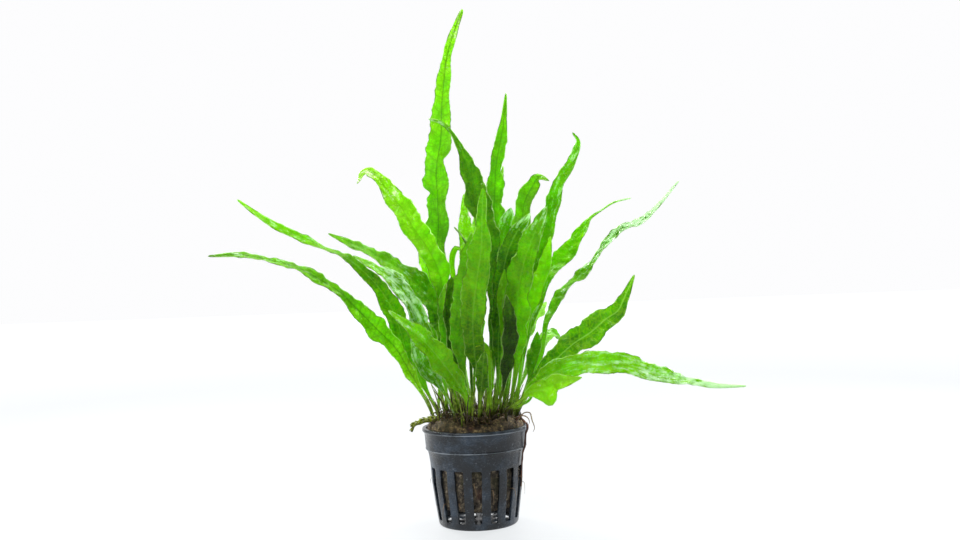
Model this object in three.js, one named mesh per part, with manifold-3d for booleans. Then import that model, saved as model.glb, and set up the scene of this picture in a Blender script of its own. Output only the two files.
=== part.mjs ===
import * as THREE from "three";
import { mergeVertices } from "three/addons/utils/BufferGeometryUtils.js";
import Module from "manifold-3d";

const wasm = await Module();
wasm.setup();

// Narrow leaf java fern in a net pot. Millimetres, Z up, the pot's base on z = 0, its front toward -Y.

// Net pot
const POT_SIDES = 48;
const POT_HEIGHT = 48.8;
const FLOOR = 1.2;
const POT_OUTSIDE = [
  [0, 0], [19.4, 0], [20, 0.9], [21.6, 11.6], [22.9, 22], [23.4, 31], [24, 35.5], [24.5, 37.3],
  [25.3, 38.6], [25.9, 46.7], [26.9, 47.2], [26.9, 48.4], [26.6, POT_HEIGHT],
];
const POT_INSIDE = [
  [24.9, POT_HEIGHT], [24.1, 39.4], [22.8, 35.5], [22.2, 31], [21.6, 22], [18.9, FLOOR], [0, FLOOR],
];
const SLOT_COUNT = 16;
const SLOT = { bottom: 3.3, top: 29.6, bottomWidth: 3.6, topWidth: 4.9, corner: 0.7 };
const FLOOR_SLOT_COUNT = 8;
const FLOOR_SLOT = { inner: 8.4, outer: 17.2, innerWidth: 4.4, outerWidth: 10.4 };

// Wool plug
const CLEARANCE = 0.35;
const PLUG_SIDES = 28;
const PLUG_BOTTOM = 9;
const PLUG_SHOULDER = 47;
const PLUG_CROWN = 51;
const MOUNDS = [
  { x: -15, y: -17, height: 3.6, spread: 7 },
  { x: 15, y: -16, height: 3.8, spread: 7 },
  { x: 0, y: 9, height: 2, spread: 11 },
];

// Stems and blades
const PEG = 3.6;
const PEG_HOLE = 1.45;
const STALK = 0.7;
const STEP = 6.6;
const BITTEN_STEP = 2.8;
const BLADE_THICKNESS = 0.6;
const RIB_THICKNESS = 1.4;
const FOLD = 0.16;
const WAVE_LIFT = 0.14;
const WAVE_WIDTH = 0.1;

// Every frond has the place of its foot on the plug, its midrib's points, and at each of these the
// blade's half width and its turn about the midrib in degrees. A bite out of a margin, or with a minus a
// lobe on it, has its side, its distance along the frond, its share of the half width and its spread.
const FRONDS = {
  left_low: {
    foot: [-21, -1],
    rib: [[-24, -3, 62], [-31, -6, 76], [-38, -11, 90], [-46, -18, 100], [-55, -26, 111], [-61, -30, 118],
      [-70, -35, 125], [-80, -38, 131], [-92, -42, 135], [-105, -43, 138], [-120, -45, 138]],
    half: [0.8, 3, 3.5, 5.5, 4, 2, 3, 2.5, 2, 2, 0.5],
    turn: [15, 20, 20, 25, 30, 35, 40, 50, 60, 50, 30],
  },
  left_long: {
    foot: [-18, 4],
    rib: [[-22, 3, 62], [-27, 2, 73], [-33, 1, 84], [-36, 1, 97], [-40, 0, 109], [-46, -2, 120],
      [-55, -2, 130], [-64, -3, 137], [-73, -3, 141], [-83, -2, 146], [-95, -2, 152], [-106, 0, 159],
      [-116, 0, 167]],
    half: [0.8, 2.5, 5, 6, 5, 4, 3, 2.5, 1.2, 2.5, 2, 1.5, 0.5],
    turn: [20, 20, 20, 20, 20, 25, 30, 60, 50, 25, 20, 30, 0],
  },
  left_upper: {
    foot: [-12, 9],
    rib: [[-12, 9, 68], [-14, 11, 87], [-16, 12, 101], [-21, 11, 113], [-27, 8, 121], [-34, 5, 128],
      [-42, 2, 133], [-52, -2, 139], [-62, -3, 144], [-70, -5, 148]],
    half: [0.8, 3.5, 5, 6.5, 6.5, 5.5, 5, 3.5, 2, 0.5],
    turn: [0, 10, 20, 35, 40, 50, 55, 50, 40, 30],
  },
  left_gloss: {
    foot: [-15, -7],
    rib: [[-14, -7, 68], [-18, -11, 83], [-23, -18, 97], [-27, -22, 108], [-31, -26, 117],
      [-38, -29, 125], [-45, -29, 130], [-55, -29, 136]],
    half: [0.8, 3.5, 4, 4.5, 5, 4.5, 3, 0.5],
    turn: [10, 20, 20, 30, 40, 50, 50, 40],
  },
  left_front: {
    foot: [-3, -17],
    rib: [[-3, -19, 63], [-8, -26, 74], [-14, -34, 84], [-21, -42, 94], [-27, -48, 101], [-37, -52, 110]],
    half: [1.5, 4.5, 6, 5.5, 3.5, 0.5],
    turn: [10, 20, 25, 30, 30, 30],
  },
  left_short: {
    foot: [-9, -13],
    rib: [[-14, -14, 66], [-18, -19, 74], [-23, -26, 81], [-26, -34, 90], [-28, -44, 99]],
    half: [0.8, 3, 4, 3, 0.5],
    turn: [10, 20, 20, 20, 30],
  },
  left_pale: {
    foot: [-19, 8],
    rib: [[-18, 16, 71], [-19, 22, 91], [-20, 25, 110], [-22, 26, 122], [-25, 28, 132], [-27, 29, 139]],
    half: [0.8, 2, 3, 3, 2.5, 0.5],
    turn: [0, 10, 20, 30, 30, 30],
  },
  left_broad: {
    foot: [-8, 3],
    rib: [[-11, 2, 72], [-13, 1, 95], [-14, 0, 113], [-15, -2, 125], [-20, -3, 138], [-27, -5, 149],
      [-33, -6, 160], [-39, -6, 168], [-45, -8, 176], [-50, -8, 178], [-54, -10, 172]],
    half: [0.8, 1.5, 3.5, 5.5, 6, 6, 6, 4, 3, 2.5, 1],
    turn: [0, 10, 20, 25, 25, 25, 20, 20, 25, 40, 60],
  },
  tallest: {
    foot: [-11, 14],
    rib: [[-13, 15, 73], [-15, 21, 97], [-16, 22, 120], [-17, 22, 138], [-16, 21, 151], [-16, 21, 165],
      [-16, 21, 181], [-13, 19, 196], [-12, 19, 211], [-10, 18, 227], [-8, 18, 239], [-4, 16, 251],
      [1, 16, 263]],
    half: [0.8, 3.5, 4.5, 5.5, 6, 7, 7, 6.5, 5, 3.5, 2.5, 2, 1],
    turn: [0, -10, -20, -25, -28, -28, -25, -20, -15, -10, 0, 0, 0],
    bites: [[1, 121, 0.6, 2.6], [-1, 139, 0.3, 3.2]],
  },
  behind_pale: {
    foot: [-5, 17],
    rib: [[-5, 19, 75], [-3, 22, 96], [-2, 26, 117], [-1, 29, 135], [-2, 31, 151], [-2, 32, 168]],
    half: [0.8, 2.5, 5, 5, 4.5, 0.5],
    turn: [0, 20, 30, 30, 30, 20],
  },
  centre_whip: {
    foot: [6, -2],
    rib: [[9, -2, 69], [11, -4, 92], [12, -6, 112], [11, -8, 132], [9, -11, 148], [5, -13, 162],
      [2, -14, 175], [-2, -16, 186], [-6, -19, 194], [-11, -21, 199], [-17, -22, 201]],
    half: [0.8, 3, 3.5, 4.5, 6, 6.5, 5, 2, 1, 1, 0.5],
    turn: [0, 15, 20, 25, 25, 25, 20, 20, 20, 20, 0],
  },
  centre_front: {
    foot: [3, -13],
    rib: [[3, -15, 70], [1, -23, 88], [1, -32, 106], [3, -38, 120], [6, -43, 137], [7, -48, 151],
      [8, -53, 164]],
    half: [0.8, 4.5, 6, 6.5, 5.5, 2.5, 1.5],
    turn: [0, -10, -18, -20, -20, -15, -10],
  },
  centre_left: {
    foot: [-3, -8],
    rib: [[-4, -10, 70], [-6, -15, 88], [-5, -22, 103], [-3, -29, 118], [-1, -34, 131], [2, -37, 145]],
    half: [0.8, 4, 6, 5, 4, 0.5],
    turn: [0, -15, -30, -30, -25, 0],
  },
  centre_tall: {
    foot: [9, 12],
    rib: [[13, 14, 75], [14, 19, 101], [14, 18, 122], [15, 18, 142], [14, 16, 160], [15, 16, 174],
      [16, 14, 183], [18, 14, 192], [20, 13, 202], [22, 13, 218]],
    half: [0.8, 3.5, 5, 5, 5, 4.5, 3.5, 3.5, 2, 0.5],
    turn: [0, 15, 30, 30, 30, 25, 20, 15, 10, 0],
    bites: [[-1, 132, 0.4, 3]],
  },
  crinkled: {
    foot: [14, 5],
    rib: [[17, 6, 76], [16, 6, 101], [16, 6, 122], [17, 5, 139], [20, 5, 151], [22, 3, 158]],
    half: [0.8, 3, 5, 5.5, 4.5, 2.5],
    turn: [0, 15, 25, 25, 20, 10],
  },
  right_fold: {
    foot: [10, -8],
    rib: [[12, -8, 70], [13, -13, 92], [15, -18, 112], [17, -21, 128], [21, -26, 140], [26, -29, 148],
      [30, -32, 153]],
    half: [0.8, 3.5, 5, 5, 4.5, 3, 0.5],
    turn: [0, 15, 20, 20, 20, 20, 20],
  },
  right_nod: {
    foot: [14, 0],
    rib: [[18, 0, 76], [20, 0, 99], [22, -2, 119], [25, -2, 136], [27, -3, 151], [29, -5, 161],
      [33, -6, 168], [36, -8, 172], [41, -10, 170]],
    half: [0.8, 3, 5, 5, 4.5, 4.5, 3.5, 2.5, 0.5],
    turn: [0, -15, -25, -25, -20, -20, -25, -30, -40],
  },
  right_tall: {
    foot: [18, 4],
    rib: [[24, 8, 72], [27, 9, 93], [30, 8, 113], [35, 8, 131], [40, 6, 146], [44, 5, 160], [47, 3, 170],
      [53, 2, 179], [56, 0, 186], [57, -2, 190], [54, -5, 194]],
    half: [0.8, 2.5, 4, 4, 4, 4, 3, 2.5, 2, 1, 0.5],
    turn: [0, -15, -25, -25, -25, -25, -20, -15, -20, -20, -30],
  },
  right_front: {
    foot: [16, -9],
    rib: [[20, -11, 69], [22, -18, 89], [22, -25, 104], [23, -30, 117], [26, -35, 130], [31, -40, 143],
      [37, -45, 155]],
    half: [0.8, 4, 6.5, 6.5, 6, 4.5, 1],
    turn: [0, -10, -20, -22, -22, -20, -20],
  },
  right_pale: {
    foot: [21, 0],
    rib: [[23, 0, 70], [25, -1, 86], [27, -5, 99], [30, -6, 110], [33, -10, 118], [37, -13, 128],
      [39, -16, 136], [40, -19, 142]],
    half: [0.8, 1, 2, 4, 4.5, 3.5, 2, 0.5],
    turn: [0, -10, -20, -25, -25, -25, -20, -10],
  },
  right_whip: {
    foot: [20, 8],
    rib: [[24, 12, 72], [29, 16, 93], [35, 19, 110], [40, 19, 124], [47, 21, 130], [53, 21, 137],
      [59, 21, 145], [64, 22, 152], [70, 22, 156], [77, 22, 160], [86, 22, 162]],
    half: [0.8, 1.5, 3, 4.5, 4.5, 4.5, 3, 1, 0.5, 0.5, 0.5],
    turn: [0, -10, -20, -25, -25, -25, -25, -30, -20, -10, 0],
  },
  right_thread: {
    foot: [12, 17],
    rib: [[28, 17, 58], [33, 19, 72], [37, 21, 86], [39, 23, 98], [43, 26, 105], [47, 28, 112],
      [53, 30, 118], [59, 32, 122], [65, 34, 128], [73, 36, 138], [83, 39, 147], [93, 41, 150],
      [102, 43, 157], [116, 45, 172]],
    half: [0.8, 1, 1, 1.5, 2.5, 3, 2, 3.5, 2, 2.5, 2.5, 2.5, 1.5, 0.5],
    turn: [0, 0, -10, -20, -30, -35, -50, -30, -55, -50, -40, -40, -40, -20],
  },
  right_small: {
    foot: [21, -4],
    rib: [[24, -4, 62], [28, -3, 72], [30, -3, 82], [32, -2, 88], [33, -2, 95]],
    half: [0.8, 1, 3, 3, 0.5],
    turn: [0, 0, -15, -15, 0],
  },
  right_dark: {
    foot: [18, -6],
    rib: [[24, -8, 63], [28, -10, 70], [34, -12, 76], [41, -14, 82], [49, -16, 89], [58, -19, 95],
      [65, -21, 101], [71, -23, 105], [74, -25, 111], [79, -27, 122]],
    half: [0.8, 1.5, 3.5, 5, 6.5, 6.5, 6, 4, 2.5, 0.5],
    turn: [0, -10, -15, -20, -25, -25, -25, -20, -15, -10],
  },
  right_long: {
    foot: [16, -13],
    rib: [[23, -15, 60], [27, -19, 68], [35, -23, 74], [46, -27, 79], [58, -31, 81], [72, -32, 80],
      [86, -32, 75], [101, -30, 71], [114, -29, 68], [130, -29, 67]],
    half: [0.8, 2, 5, 5.5, 5.5, 5, 4.5, 2.5, 1.5, 0.5],
    turn: [-10, -20, -20, -20, -20, -20, -30, -40, -30, -20],
  },
  right_torn: {
    foot: [15.5, -17],
    rib: [[23, -19, 63], [27, -22, 67], [31, -25, 68], [36, -28, 69], [39, -32, 72], [43, -35, 73],
      [51, -38, 75]],
    half: [0.8, 2.5, 4, 5.5, 5, 3, 0.5],
    turn: [0, -10, -15, -20, -20, -20, -20],
    bites: [[-1, 32.5, -0.45, 2.5], [-1, 36.5, 0.3, 2]],
  },
  centre_dark: {
    foot: [9, -15],
    rib: [[14, -17, 67], [16, -21, 79], [18, -28, 91], [18, -34, 103], [17, -38, 115]],
    half: [0.8, 3, 4, 4, 0.5],
    turn: [0, 15, 25, 25, 10],
  },
  front_short: {
    foot: [2, -19],
    rib: [[3, -20, 63], [4, -25, 72], [5, -32, 82], [6, -38, 89]],
    half: [0.8, 3.5, 3, 1],
    turn: [0, -15, -20, -10],
  },
  left_dark: {
    foot: [-7, -8],
    rib: [[-8, -8, 68], [-9, -9, 85], [-10, -9, 100], [-10, -10, 113], [-9, -10, 124]],
    half: [0.8, 3, 4, 3.5, 1.5],
    turn: [0, 15, 25, 25, 10],
  },
  left_thin: {
    foot: [-14, 1],
    rib: [[-14, -2, 70], [-13, -4, 87], [-14, -6, 102], [-14, -6, 112], [-12, -5, 121]],
    half: [0.8, 2, 3, 2.5, 0.5],
    turn: [0, -20, -30, -30, -10],
  },
  back_left: {
    foot: [-16, 14],
    rib: [[-18, 18, 70], [-20, 26, 95], [-20, 36, 120], [-19, 46, 142], [-17, 54, 160]],
    half: [0.8, 3.5, 5.5, 5, 0.5],
    turn: [0, 30, 50, 50, 30],
  },
  back_middle: {
    foot: [2, 20],
    rib: [[3, 25, 75], [4, 34, 100], [5, 45, 125], [5, 55, 146], [4, 64, 160]],
    half: [0.8, 3, 5, 5, 0.5],
    turn: [0, 20, 25, 25, 0],
  },
  back_right: {
    foot: [16, 13],
    rib: [[19, 18, 72], [22, 26, 95], [25, 35, 118], [28, 44, 138], [31, 52, 154]],
    half: [0.8, 3.5, 5, 4.5, 0.5],
    turn: [0, -30, -50, -50, -30],
  },
  back_low_left: {
    foot: [-9, 19],
    rib: [[-13, 26, 64], [-20, 38, 79], [-26, 50, 92], [-31, 63, 102], [-35, 76, 108]],
    half: [0.8, 4, 5.5, 4.5, 0.5],
    turn: [0, 25, 40, 40, 20],
  },
  back_low_right: {
    foot: [7, 20],
    rib: [[13, 29, 64], [22, 41, 80], [30, 53, 93], [37, 65, 102], [43, 77, 107]],
    half: [0.8, 4, 5, 4.5, 0.5],
    turn: [0, -25, -45, -45, -20],
  },
  back_inner: {
    foot: [-1, 14],
    rib: [[1, 18, 80], [4, 25, 110], [5, 33, 140], [5, 39, 165], [5, 43, 182]],
    half: [0.8, 3, 4.5, 3.5, 0.5],
    turn: [0, 50, 70, 60, 30],
  },
  back_tall: {
    foot: [6, 15],
    rib: [[9, 19, 85], [12, 27, 115], [14, 36, 142], [17, 44, 166], [20, 50, 184]],
    half: [0.8, 3, 4.5, 3.5, 0.5],
    turn: [0, -50, -65, -60, -30],
  },
  right_bud: {
    foot: [22, 3.5],
    rib: [[26, 4, 62], [31, 5, 74], [35, 5, 84], [36, 6, 89], [37, 6, 94]],
    half: [0.8, 1, 1.5, 1.5, 0.5],
    turn: [0, 0, 20, 20, 0],
  },
  centre_lime: {
    foot: [13, -12],
    rib: [[13, -14, 70], [15, -17, 87], [15, -19, 102], [15, -22, 113], [16, -24, 120], [17, -27, 127]],
    half: [0.8, 1, 1.5, 2.5, 2.5, 0.5],
    turn: [0, 0, 15, 20, 20, 0],
  },
  front_lime: {
    foot: [6, -18],
    rib: [[7, -19, 64], [8, -20, 71], [8, -21, 79], [9, -22, 88]],
    half: [0.8, 2.5, 2, 0.5],
    turn: [0, 15, 20, 0],
  },
  centre_tendril: {
    foot: [-1, -12.5],
    rib: [[-1, -8, 70], [-1, -7, 97], [1, -6, 127], [0, -6, 137], [-3, -5, 144], [-7, -4, 149]],
    half: [0.8, 1, 1.5, 1, 0.5, 0.5],
    turn: [0, 20, 30, 30, 40, 20],
  },
  back_arch: {
    foot: [-3, 8],
    rib: [[-8, 18, 74], [-14, 33, 98], [-21, 48, 114], [-30, 61, 121], [-38, 71, 118]],
    half: [0.8, 4, 5, 4, 0.5],
    turn: [0, 40, 60, 60, 40],
  },
  back_lean: {
    foot: [16.5, 9],
    rib: [[24, 19, 66], [32, 31, 80], [39, 43, 88], [45, 55, 90], [50, 66, 86]],
    half: [0.8, 3.5, 4.5, 3.5, 0.5],
    turn: [0, -30, -50, -50, -30],
  },
  back_reach: {
    foot: [-1.5, 21.5],
    rib: [[-4, 32, 68], [-8, 48, 84], [-12, 63, 93], [-15, 78, 95]],
    half: [0.8, 4.5, 5, 0.5],
    turn: [0, 25, 45, 30],
  },
};

// Rhizome and root
const RHIZOME_ROUTE = [[2, -3.5], [-5, -3], [-12, -3.2], [-18, -4], [-23, -5]];
const RHIZOME_TIP = [[-27.5, -5.2, 51.9], [-30.6, -5.2, 50.6], [-32, -5, 47.4]];
const RHIZOME_RADII = [1.7, 1.9, 1.9, 1.7, 1.5, 1.2, 1.0, 0.6];
const SCALE_COUNT = 16;
const STUBS = [[-2, -3.2, 7], [-9.5, -3, 5], [-17, -3.8, 6]];
const ROOT_FOOT = [20.5, -9.5];
const ROOT_RADIUS = 0.45;
const ROOT_HOLE = 0.95;
const ROOT_ROUTE = [
  [22.2, -9.7, 53.4], [24.3, -10.1, 51.4], [25.7, -10.5, 49.7], [25.8, -10.7, 47.8], [24.9, -10.4, 45.4],
  [24.5, -10.2, 42], [24.2, -10, 39], [23.2, -9.7, 36.2], [22.8, -9.4, 33], [22.3, -9.3, 28.8],
  [22, -9.2, 24], [21.6, -9.1, 19],
];

const lerp = (a, b, share) => a + (b - a) * share;
const vector = (point) => new THREE.Vector3(...point);

// Value of a list at a fractional index, held at both ends.
function along(list, index) {
  const held = Math.min(Math.max(index, 0), list.length - 1);
  const low = Math.min(Math.floor(held), list.length - 2);
  return lerp(list[low], list[low + 1], held - low);
}

function solid(geometry) {
  const bare = new THREE.BufferGeometry();
  bare.setAttribute("position", geometry.getAttribute("position"));
  bare.setIndex(geometry.getIndex());
  const merged = mergeVertices(bare, 1e-3);
  const triVerts = [];
  const index = merged.index.array;
  for (let i = 0; i < index.length; i += 3) {
    const [a, b, c] = index.slice(i, i + 3);
    if (a !== b && b !== c && c !== a) triVerts.push(a, b, c);
  }
  return new wasm.Manifold(new wasm.Mesh({
    numProp: 3,
    vertProperties: merged.attributes.position.array,
    triVerts: new Uint32Array(triVerts),
  }));
}

function geometryOf(body) {
  const mesh = body.getMesh();
  const geometry = new THREE.BufferGeometry();
  geometry.setAttribute("position", new THREE.BufferAttribute(mesh.vertProperties, 3));
  geometry.setIndex(new THREE.BufferAttribute(mesh.triVerts, 1));
  geometry.computeVertexNormals();
  return geometry;
}

// Closed skin over rings of points that all run the same way round; the last ring is capped facing on.
function skin(rings, mirroredFrom = Infinity) {
  const count = rings[0].length;
  const positions = rings.flat().flatMap((p) => [p.x, p.y, p.z]);
  const index = [];
  for (let i = 0; i < rings.length - 1; i++) {
    for (let k = 0; k < count; k++) {
      const a = i * count + k;
      const b = i * count + (k + 1) % count;
      const c = b + count;
      const d = a + count;
      if (k >= mirroredFrom) index.push(a, b, d, b, c, d);
      else index.push(a, b, c, a, c, d);
    }
  }
  const last = (rings.length - 1) * count;
  for (let k = 1; k < count - 1; k++) {
    index.push(0, k + 1, k);
    index.push(last, last + k, last + k + 1);
  }
  const geometry = new THREE.BufferGeometry();
  geometry.setAttribute("position", new THREE.Float32BufferAttribute(positions, 3));
  geometry.setIndex(index);
  return geometry;
}

// Solid of revolution about Z from an outline of [radius, height] that starts and ends on the axis.
function turned(outline, sides) {
  const points = outline.map(([radius, height]) => new THREE.Vector2(radius, height));
  const geometry = new THREE.LatheGeometry(points, sides);
  geometry.rotateX(Math.PI / 2);
  return solid(geometry);
}

// Round strand along a curve, its radius read from a list.
function strand(points, radii, sides, step) {
  const curve = new THREE.CatmullRomCurve3(points, false, "centripetal");
  const count = Math.max(2, Math.round(curve.getLength() / step));
  const rings = [];
  const side = new THREE.Vector3(0, 1, 0.2).normalize();
  for (let i = 0; i <= count; i++) {
    const at = curve.getPointAt(i / count);
    const tangent = curve.getTangentAt(i / count);
    const across = new THREE.Vector3().crossVectors(tangent, side).normalize();
    const up = new THREE.Vector3().crossVectors(across, tangent);
    const radius = along(radii, (i / count) * (radii.length - 1));
    rings.push(Array.from({ length: sides }, (_, k) => {
      const angle = (-2 * Math.PI * k) / sides;
      return at.clone()
        .addScaledVector(across, radius * Math.cos(angle))
        .addScaledVector(up, radius * Math.sin(angle));
    }));
  }
  return skin(rings);
}

function slotCutter() {
  const { bottom, top, bottomWidth, topWidth, corner } = SLOT;
  const low = bottomWidth / 2;
  const high = topWidth / 2;
  const shape = new THREE.Shape([
    [-low + corner, bottom], [low - corner, bottom], [low, bottom + corner], [high, top - corner],
    [high - corner, top], [-high + corner, top], [-high, top - corner], [-low, bottom + corner],
  ].map(([x, y]) => new THREE.Vector2(x, y)));
  const geometry = new THREE.ExtrudeGeometry(shape, { depth: 14, bevelEnabled: false });
  geometry.rotateX(Math.PI / 2);
  geometry.translate(0, -14, 0);
  return solid(geometry);
}

function netPot() {
  let body = turned([...POT_OUTSIDE, ...POT_INSIDE], POT_SIDES);
  const slot = slotCutter();
  for (let i = 0; i < SLOT_COUNT; i++) {
    body = body.subtract(slot.rotate([0, 0, (360 / SLOT_COUNT) * i]));
  }
  const { inner, outer, innerWidth, outerWidth } = FLOOR_SLOT;
  const low = innerWidth / 2;
  const high = outerWidth / 2;
  const wedge = [[inner, -low], [outer, -high], [outer, high], [inner, low]];
  const cut = wasm.Manifold.extrude([wedge], 4 * FLOOR).translate([0, 0, -FLOOR]);
  for (let i = 0; i < FLOOR_SLOT_COUNT; i++) {
    body = body.subtract(cut.rotate([0, 0, (360 / FLOOR_SLOT_COUNT) * (i + 0.5)]));
  }
  return body;
}

function plugTop(x, y) {
  const mounds = MOUNDS.map((m) => m.height * Math.exp(-((x - m.x) ** 2 + (y - m.y) ** 2) / m.spread ** 2));
  const lumps = 0.35 * Math.sin(0.9 * x + 0.4 * y) + 0.35 * Math.sin(1.1 * y - 0.5 * x);
  return PLUG_CROWN + lumps + mounds.reduce((sum, h) => sum + h, 0);
}

function plugRadius(height) {
  const outline = [...POT_INSIDE].reverse();
  const above = Math.max(1, outline.findIndex(([, z]) => z >= height));
  const [low, high] = [outline[above - 1], outline[above]];
  return lerp(low[0], high[0], (height - low[1]) / (high[1] - low[1])) - CLEARANCE;
}

function woolPlug() {
  const rings = [];
  const ring = (radius, heightAt) => Array.from({ length: PLUG_SIDES }, (_, k) => {
    const angle = (2 * Math.PI * k) / PLUG_SIDES;
    const x = radius * Math.cos(angle);
    const y = radius * Math.sin(angle);
    return new THREE.Vector3(x, y, heightAt(x, y));
  });
  for (const height of [PLUG_BOTTOM, 22, 31, 35.5, 39.4, PLUG_SHOULDER]) {
    rings.push(ring(plugRadius(height), () => height));
  }
  const shoulder = plugRadius(PLUG_SHOULDER);
  rings.push(ring(shoulder - 0.5, (x, y) => lerp(PLUG_SHOULDER, plugTop(x, y), 0.65)));
  for (const radius of [shoulder - 2.5, 18, 13, 8, 3]) rings.push(ring(radius, plugTop));
  let body = solid(skin(rings));
  for (const { foot } of Object.values(FRONDS)) body = body.subtract(pegHole(foot, PEG_HOLE));
  return body.subtract(pegHole(ROOT_FOOT, ROOT_HOLE));
}

function pegHole([x, y], radius) {
  const depth = PEG + 0.5;
  return wasm.Manifold.cylinder(depth + 10, radius, radius, 6).translate([x, y, plugTop(x, y) - depth]);
}

// Share of a blade's half width that its bites take at one side and distance along it.
function bitten(bites, side, distance) {
  return bites
    .filter(([bittenSide]) => bittenSide === side)
    .map(([, middle, depth, spread]) => depth * Math.exp(-(((distance - middle) / spread) ** 2)))
    .reduce((sum, share) => sum + share, 0);
}

// One frond: a peg that stands in its hole, a stalk, and a waved blade folded a little along its rib.
function frond({ foot, rib, half, turn, bites = [] }, number) {
  const ground = plugTop(...foot);
  const upright = [-PEG, 0.2, 2.6].map((height) => vector([...foot, ground + height]));
  const points = [...upright, ...rib.map(vector)];
  const curve = new THREE.CatmullRomCurve3(points, false, "centripetal");
  const length = curve.getLength();
  const count = Math.round(length / (bites.length ? BITTEN_STEP : STEP));
  const pitch = 19 + 7 * ((number * 0.618) % 1);
  const phase = number * 2.4;
  const rings = [];
  for (let i = 0; i <= count; i++) {
    const share = i / count;
    const at = curve.getPointAt(share);
    const tangent = curve.getTangentAt(share);
    const index = curve.getUtoTmapping(share) * (points.length - 1) - upright.length;
    const stalk = Math.min(Math.max(1 + index, 0), 1);
    const width = index < 0 ? lerp(STALK, half[0], stalk) : along(half, index);
    const leafy = Math.min(Math.max((width - 1) / 1.5, 0), 1);
    const wave = (2 * Math.PI * share * length) / pitch;
    const across = new THREE.Vector3().crossVectors(tangent, new THREE.Vector3(0, 1, 0)).normalize();
    across.applyAxisAngle(tangent, (along(turn, index) * stalk * Math.PI) / 180);
    const out = new THREE.Vector3().crossVectors(tangent, across);
    const edge = lerp(lerp(1.1, 0.7, share), BLADE_THICKNESS, leafy) / 2;
    const middle = (RIB_THICKNESS * lerp(1.1, 0.6, share)) / 2;
    const tip = Math.min(1, Math.sqrt(((1 - share) * length + 0.15) / (1.6 * width)));
    const column = (side, thickness) => {
      const frill = 1 + leafy * WAVE_WIDTH * Math.sin(wave * 1.3 + phase * side);
      const reach = side * width * tip * frill * (1 - bitten(bites, side, share * length));
      const fold = Math.abs(side) * (FOLD + WAVE_LIFT * Math.sin(wave + phase + 1.9 * side)) - FOLD / 2;
      const lift = leafy * width * fold;
      const point = at.clone().addScaledVector(across, reach).addScaledVector(out, lift);
      return [point.clone().addScaledVector(out, thickness), point.addScaledVector(out, -thickness)];
    };
    const [leftTop, leftUnder] = column(1, edge);
    const [ribTop, ribUnder] = column(0, middle);
    const [rightTop, rightUnder] = column(-1, edge);
    rings.push([leftTop, ribTop, rightTop, rightUnder, ribUnder, leftUnder]);
  }
  return solid(skin(rings, 3));
}

function rhizome() {
  const lying = RHIZOME_ROUTE.map(([x, y], i) => [x, y, plugTop(x, y) + RHIZOME_RADII[i] + 0.4]);
  const points = [...lying, ...RHIZOME_TIP].map(vector);
  const curve = new THREE.CatmullRomCurve3(points, false, "centripetal");
  let body = solid(strand(points, RHIZOME_RADII, 8, 3.4));
  for (let i = 0; i < SCALE_COUNT; i++) {
    const share = 0.06 + (0.9 * i) / SCALE_COUNT;
    const radius = along(RHIZOME_RADII, share * (RHIZOME_RADII.length - 1));
    const angle = 0.9 * Math.sin(i * 2.4);
    const at = curve.getPointAt(share);
    const scale = solid(strand(
      [at, at.clone().add(new THREE.Vector3(-1.2, radius * Math.sin(angle) * 1.2, radius * 1.1)),
        at.clone().add(new THREE.Vector3(-2.6, radius * Math.sin(angle) * 1.6, radius * 1.5))],
      [0.9, 0.7, 0.3], 5, 1.6));
    body = body.add(scale);
  }
  for (const [x, y, height] of STUBS) {
    const low = plugTop(x, y) + 2;
    const lean = 0.15 * height;
    body = body.add(solid(strand(
      [vector([x, y, low]), vector([x - lean, y, low + height])], [0.8, 0.65], 6, height)));
  }
  return body;
}

function root() {
  const ground = plugTop(...ROOT_FOOT);
  const points = [[...ROOT_FOOT, ground - PEG], [...ROOT_FOOT, ground + 0.6], ...ROOT_ROUTE].map(vector);
  return solid(strand(points, [ROOT_RADIUS, ROOT_RADIUS], 6, 2.6));
}

const COLOURS = { pot: "#3d4348", wool: "#665a4c", leaf: "#5fae12", rhizome: "#7a8a20", root: "#2a1e14" };

function piece(name, body, colour) {
  const material = new THREE.MeshStandardMaterial({ color: colour, roughness: 0.6, flatShading: true });
  const mesh = new THREE.Mesh(geometryOf(body), material);
  mesh.name = name;
  return mesh;
}

const fern = new THREE.Group();
fern.add(piece("net_pot", netPot(), COLOURS.pot));
fern.add(piece("wool_plug", woolPlug(), COLOURS.wool));
fern.add(piece("rhizome", rhizome(), COLOURS.rhizome));
fern.add(piece("root_strand", root(), COLOURS.root));
Object.entries(FRONDS).forEach(([name, spec], number) => {
  fern.add(piece("frond_" + name, frond(spec, number), COLOURS.leaf));
});

export default fern;
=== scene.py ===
import math
import random

import bmesh
import bpy
import numpy as np
from mathutils import Matrix, Vector


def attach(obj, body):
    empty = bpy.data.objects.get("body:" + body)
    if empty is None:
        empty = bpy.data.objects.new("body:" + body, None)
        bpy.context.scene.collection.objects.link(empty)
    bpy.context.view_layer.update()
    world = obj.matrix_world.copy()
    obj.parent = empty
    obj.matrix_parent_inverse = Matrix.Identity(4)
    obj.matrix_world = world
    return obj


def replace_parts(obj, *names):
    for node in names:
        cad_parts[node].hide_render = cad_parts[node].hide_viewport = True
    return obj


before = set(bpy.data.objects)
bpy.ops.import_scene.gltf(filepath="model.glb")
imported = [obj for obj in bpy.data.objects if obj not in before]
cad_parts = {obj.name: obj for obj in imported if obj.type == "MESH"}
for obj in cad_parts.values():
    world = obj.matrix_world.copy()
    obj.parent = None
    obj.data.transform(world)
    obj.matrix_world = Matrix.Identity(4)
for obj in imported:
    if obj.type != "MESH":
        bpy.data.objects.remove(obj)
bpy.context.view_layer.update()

# Looks of a potted narrow leaf java fern, in the frame's axes: -Y is the side seen, Z is the pot's axis.
# Lengths are in millimetres and angles in degrees, unless a line says otherwise.
MM = 0.001
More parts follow.
